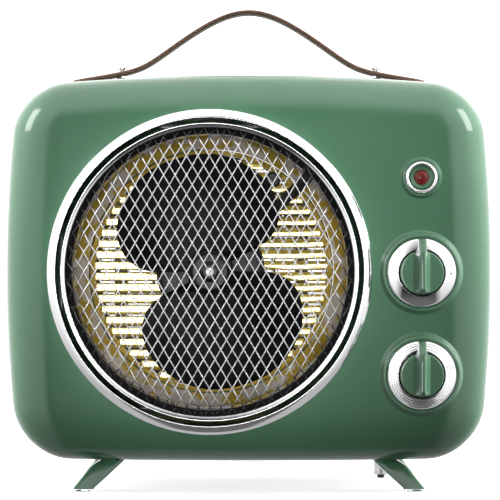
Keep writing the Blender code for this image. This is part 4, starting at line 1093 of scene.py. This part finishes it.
# ---------------- rear fittings
def build_intake_grille():
    centre = Vector((FAN_X, BACK_Y, FAN_Z))
    field_radius = 0.0665
    pitch = 0.0070
    rim = softened([
        (0.0697, 0.0, 0.0006), (0.0697, -0.0030, 0.0), (0.0655, -0.0030, 0.0003), (0.0655, 0.0, 0.0006),
    ])
    bodies = [turned(rim, centre, BACK, FINE_STEPS)]
    for line in range(-9, 9):
        level = (line + 0.5) * pitch
        half = math.sqrt(field_radius**2 - level**2)
        middle = centre + UP * level - BACK * 0.0015
        ends = (middle - Vector((half, 0.0, 0.0)), middle + Vector((half, 0.0, 0.0)))
        bodies.append(capsule_bar(*ends, 0.0015, 0.0014, 0.0007))
    corners = ((-0.0012, -0.0006), (0.0012, -0.0006), (0.0012, 0.0006), (-0.0012, 0.0006))
    rib = softened([(*corner, 0.0003) for corner in corners], 3)
    for across in (-0.0350, 0.0, 0.0350):
        half = math.sqrt(field_radius**2 - across**2)
        middle = centre + Vector((across, -0.0023, 0.0))
        bodies.append(lofted([[middle + Vector((x, y, z)) for x, y in rib] for z in (-half, half)]))
    piece("intake_grille", "black_plastic", joined(*bodies))


def build_gland():
    low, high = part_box("cord_gland")
    turned_piece("cord_gland", "black_plastic", [
        (0.0036, 0.0058, 0.0006), (0.0062, 0.0058, 0.0008), (0.0086, 0.0034, 0.0010), (0.0092, -0.0004, 0.0),
        (0.0062, -0.0004, 0.0), (0.0062, -0.0080, 0.0), (0.0036, -0.0080, 0.0),
    ], ((low[0] + high[0]) / 2, BACK_Y, (low[2] + high[2]) / 2), BACK, SMALL_STEPS)


# ---------------- studio
FLOOR_HALF_SIZE = 8.0
FLOOR_SEEN = 0.75                # the floor's own glow beneath the heater, to the camera
FLOOR_NEAR_Y = 0.1               # between these two the glow rises to 1
FLOOR_FAR_Y = 0.8

SOFTBOXES = (                    # name, place, aim, size, power: they light without being reflected
    ("overhead", (0.10, 0.10, 0.95), (0.0, 0.10, 0.12), (1.1, 0.7), 2.0),
    ("fill_left", (-1.4, 0.25, 0.5), (0.0, 0.0, 0.12), (0.8, 0.9), 30.0),
    ("fill_right", (1.4, 0.25, 0.5), (0.0, 0.0, 0.12), (0.8, 0.9), 40.0),
    ("fill_back", (0.0, 1.6, 0.7), (0.0, 0.0, 0.12), (1.2, 0.9), 30.0),
)
CORNER_SIZE = (0.40, 0.62)       # of the boxes that show in the gloss of the upper corners
CORNER_RADIANCE = 8.5
CORNER_BOXES = {"corner_left": (-1.02, -0.40, 0.66), "corner_right": (1.02, -0.40, 0.66)}
SPOT_SIZE = 0.12
SPOTS = (                        # name, place, aim, half-angle in degrees, power, fade
    ("spot_top_left", (-0.45, -1.0, 0.85), (-0.12, FACE_Y, 0.25), 6.8, 41.0, 1.0),
    ("spot_top_right", (0.45, -1.0, 0.85), (0.12, FACE_Y, 0.25), 6.8, 60.0, 1.0),
    ("spot_mid_left", (-0.6, -1.0, 0.45), (-0.15, FACE_Y, 0.15), 6.0, 3.0, 1.0),
    ("spot_mid_right", (0.6, -1.0, 0.45), (0.17, FACE_Y, 0.15), 5.0, 11.0, 1.0),
    ("spot_outlet", (FAN_X, -1.6, FAN_Z), (FAN_X, 0.0, FAN_Z), 3.1, 130.0, 0.10),
)
PANEL_Y = -1.60
PANEL_RADIANCE = 11.0
PANELS = (                       # name, left and right, low and high: they show in ribs and chrome
    ("panel_left", (-0.22, -0.04), (-0.06, 0.27)),
    ("panel_low", (-0.04, 0.07), (-0.06, 0.13)),
    ("panel_right", (0.07, 0.112), (0.02, 0.19)),
    ("panel_top", (-0.08, 0.0), (0.22, 0.28)),
)
DARK_HALF_WIDTH = 0.34           # of the dark oval in front, as shares of a direction
DARK_HALF_HEIGHT = 0.87
DARK_MIDDLE_Z = -0.32
DARK_FADE = 0.18
WORLD_DARK = 0.03
WORLD_BRIGHT = 1.9
BRIGHT_BEHIND = (-0.2, 0.0)      # Y of a direction from which on the world is bright all over
LOW_FADE = (-0.6, 0.3)           # Z of a direction between which the world brightens upwards
WORLD_LOW = 0.30                 # share of its brightness that is left below that
GLOW_FADE = (-0.30, -0.50)       # Z of a direction between which the glow from below sets in
FLOOR_GLOW = 0.16                # brightness of that glow

CAMERA_AT = (0.00067, -1.5, 0.1288)
CAMERA_LENS = 194.7
CAMERA_SENSOR = 36.0


def build_stage():
    """A pale floor that only the camera sees: it neither lights the heater nor shows in its gloss."""
    size = FLOOR_HALF_SIZE
    mesh = bpy.data.meshes.new("floor")
    corners = [(-size, -size, 0.0), (size, -size, 0.0), (size, size, 0.0), (-size, size, 0.0)]
    mesh.from_pydata(corners, [], [(0, 1, 2, 3)])
    floor = add_object("floor", mesh)
    finish = Finish("studio_floor", 0.6, Emission_Color=(1.0, 1.0, 1.0, 1.0), Specular_IOR_Level=0.0)
    finish.mottled(0.5, (0.86, 0.86, 0.86), (0.88, 0.88, 0.88))
    y = add_node(finish.tree, "ShaderNodeSeparateXYZ", {"Vector": finish.place}, "Y")
    far = map_range(finish.tree, y, FLOOR_NEAR_Y, FLOOR_FAR_Y, FLOOR_SEEN, 1.0)
    seen = add_node(finish.tree, "ShaderNodeLightPath", {}, "Is Camera Ray")
    finish.feed("Emission Strength", math_node(finish.tree, "MULTIPLY", seen, far))
    mesh.materials.append(finish.material)
    floor.visible_diffuse = False
    floor.visible_glossy = False


def add_light(light, power, place_at, aim_at):
    light.energy = power
    obj = add_object(light.name, light)
    obj.location = place_at
    obj.rotation_euler = (Vector(aim_at) - Vector(place_at)).to_track_quat("-Z", "Y").to_euler()
    return obj


def softbox(name, place_at, aim_at, size, power, glossy=False):
    """A rectangular light, unseen by the camera. It lights surfaces or, if glossy, only shows in gloss."""
    light = bpy.data.lights.new(name, "AREA")
    light.shape = "RECTANGLE"
    light.size, light.size_y = size
    obj = add_light(light, power, place_at, aim_at)
    obj.visible_camera = False
    obj.visible_diffuse = not glossy
    obj.visible_glossy = glossy


def gloss_box(name, place_at, aim_at, size, radiance):
    """A rectangle of that radiance which shows in the gloss but lights nothing."""
    softbox(name, place_at, aim_at, size, radiance * math.pi * size[0] * size[1], glossy=True)


def spot(name, place_at, aim_at, half_angle, power, fade):
    """A round pool of light that fades to its rim and isn't reflected in the gloss."""
    light = bpy.data.lights.new(name, "SPOT")
    light.spot_size = math.radians(2 * half_angle)
    light.spot_blend = fade
    light.shadow_soft_size = SPOT_SIZE
    add_light(light, power, place_at, aim_at).visible_glossy = False


def build_lights():
    for box in SOFTBOXES:
        softbox(*box)
    for name, place_at in CORNER_BOXES.items():
        gloss_box(name, place_at, (0.0, 0.0, MID_Z), CORNER_SIZE, CORNER_RADIANCE)
    for pool in SPOTS:
        spot(*pool)
    for name, (left, right), (low, high) in PANELS:
        x = (left + right) / 2
        z = (low + high) / 2
        gloss_box(name, (x, PANEL_Y, z), (x, 0.0, z), (right - left, high - low), PANEL_RADIANCE)


def build_world():
    """White to the camera. In the gloss it is bright all round but for a dark oval low in front."""
    world = bpy.data.worlds.new("studio")
    world.use_nodes = True
    tree = world.node_tree
    direction = add_node(tree, "ShaderNodeTexCoord", {}, "Generated")
    split = tree.nodes.new("ShaderNodeSeparateXYZ")
    tree.links.new(direction, split.inputs["Vector"])
    squeezed = add_node(tree, "ShaderNodeMapping", {
        "Vector": direction,
        "Location": (0.0, 0.0, -DARK_MIDDLE_Z / DARK_HALF_HEIGHT),
        "Scale": (1.0 / DARK_HALF_WIDTH, 0.0, 1.0 / DARK_HALF_HEIGHT),
    })
    out = add_node(tree, "ShaderNodeVectorMath", {0: squeezed}, "Value", "LENGTH")
    beside = map_range(tree, out, 1.0 - DARK_FADE, 1.0 + DARK_FADE, WORLD_DARK, WORLD_BRIGHT)
    behind = map_range(tree, split.outputs["Y"], *BRIGHT_BEHIND, 0.0, WORLD_BRIGHT)
    around = math_node(tree, "MAXIMUM", beside, behind)
    height = map_range(tree, split.outputs["Z"], *LOW_FADE, WORLD_LOW, 1.0)
    above = math_node(tree, "MULTIPLY", around, height)
    below = map_range(tree, split.outputs["Z"], *GLOW_FADE, 0.0, FLOOR_GLOW)
    lit = math_node(tree, "MAXIMUM", above, below)
    seen = add_node(tree, "ShaderNodeLightPath", {}, "Is Camera Ray")
    background = tree.nodes["Background"]
    tree.links.new(math_node(tree, "MAXIMUM", lit, seen), background.inputs["Strength"])
    background.inputs["Color"].default_value = (1.0, 1.0, 1.0, 1.0)
    bpy.context.scene.world = world
    world.cycles_visibility.diffuse = False
    bpy.context.scene.view_settings.view_transform = "Standard"


def build_camera():
    data = bpy.data.cameras.new("camera")
    data.lens = CAMERA_LENS
    data.sensor_width = CAMERA_SENSOR
    camera = add_object("camera", data)
    camera.location = CAMERA_AT
    camera.rotation_euler = (math.radians(90.0), 0.0, 0.0)
    bpy.context.scene.camera = camera


# ---------------- the heater
def build_heater():
    finish_cad_nodes()
    build_casing()
    build_rear_cover()
    build_cover_screws()
    build_outlet_trim()
    piece("mesh_grille", "mesh_wire", joined(*mesh_wires(-1.0), *mesh_wires(1.0)), 80.0)
    build_duct()
    build_rib_plate()
    build_fan()
    build_motor_cup()
    for name, z in KNOBS.items():
        build_cap(name, z)
    build_dials()
    build_lamp()
    build_strap()
    build_studs()
    build_feet()
    build_tip_switch()
    build_intake_grille()
    build_gland()


build_heater()
build_stage()
build_lights()
build_world()
build_camera()

bpy.context.view_layer.update()
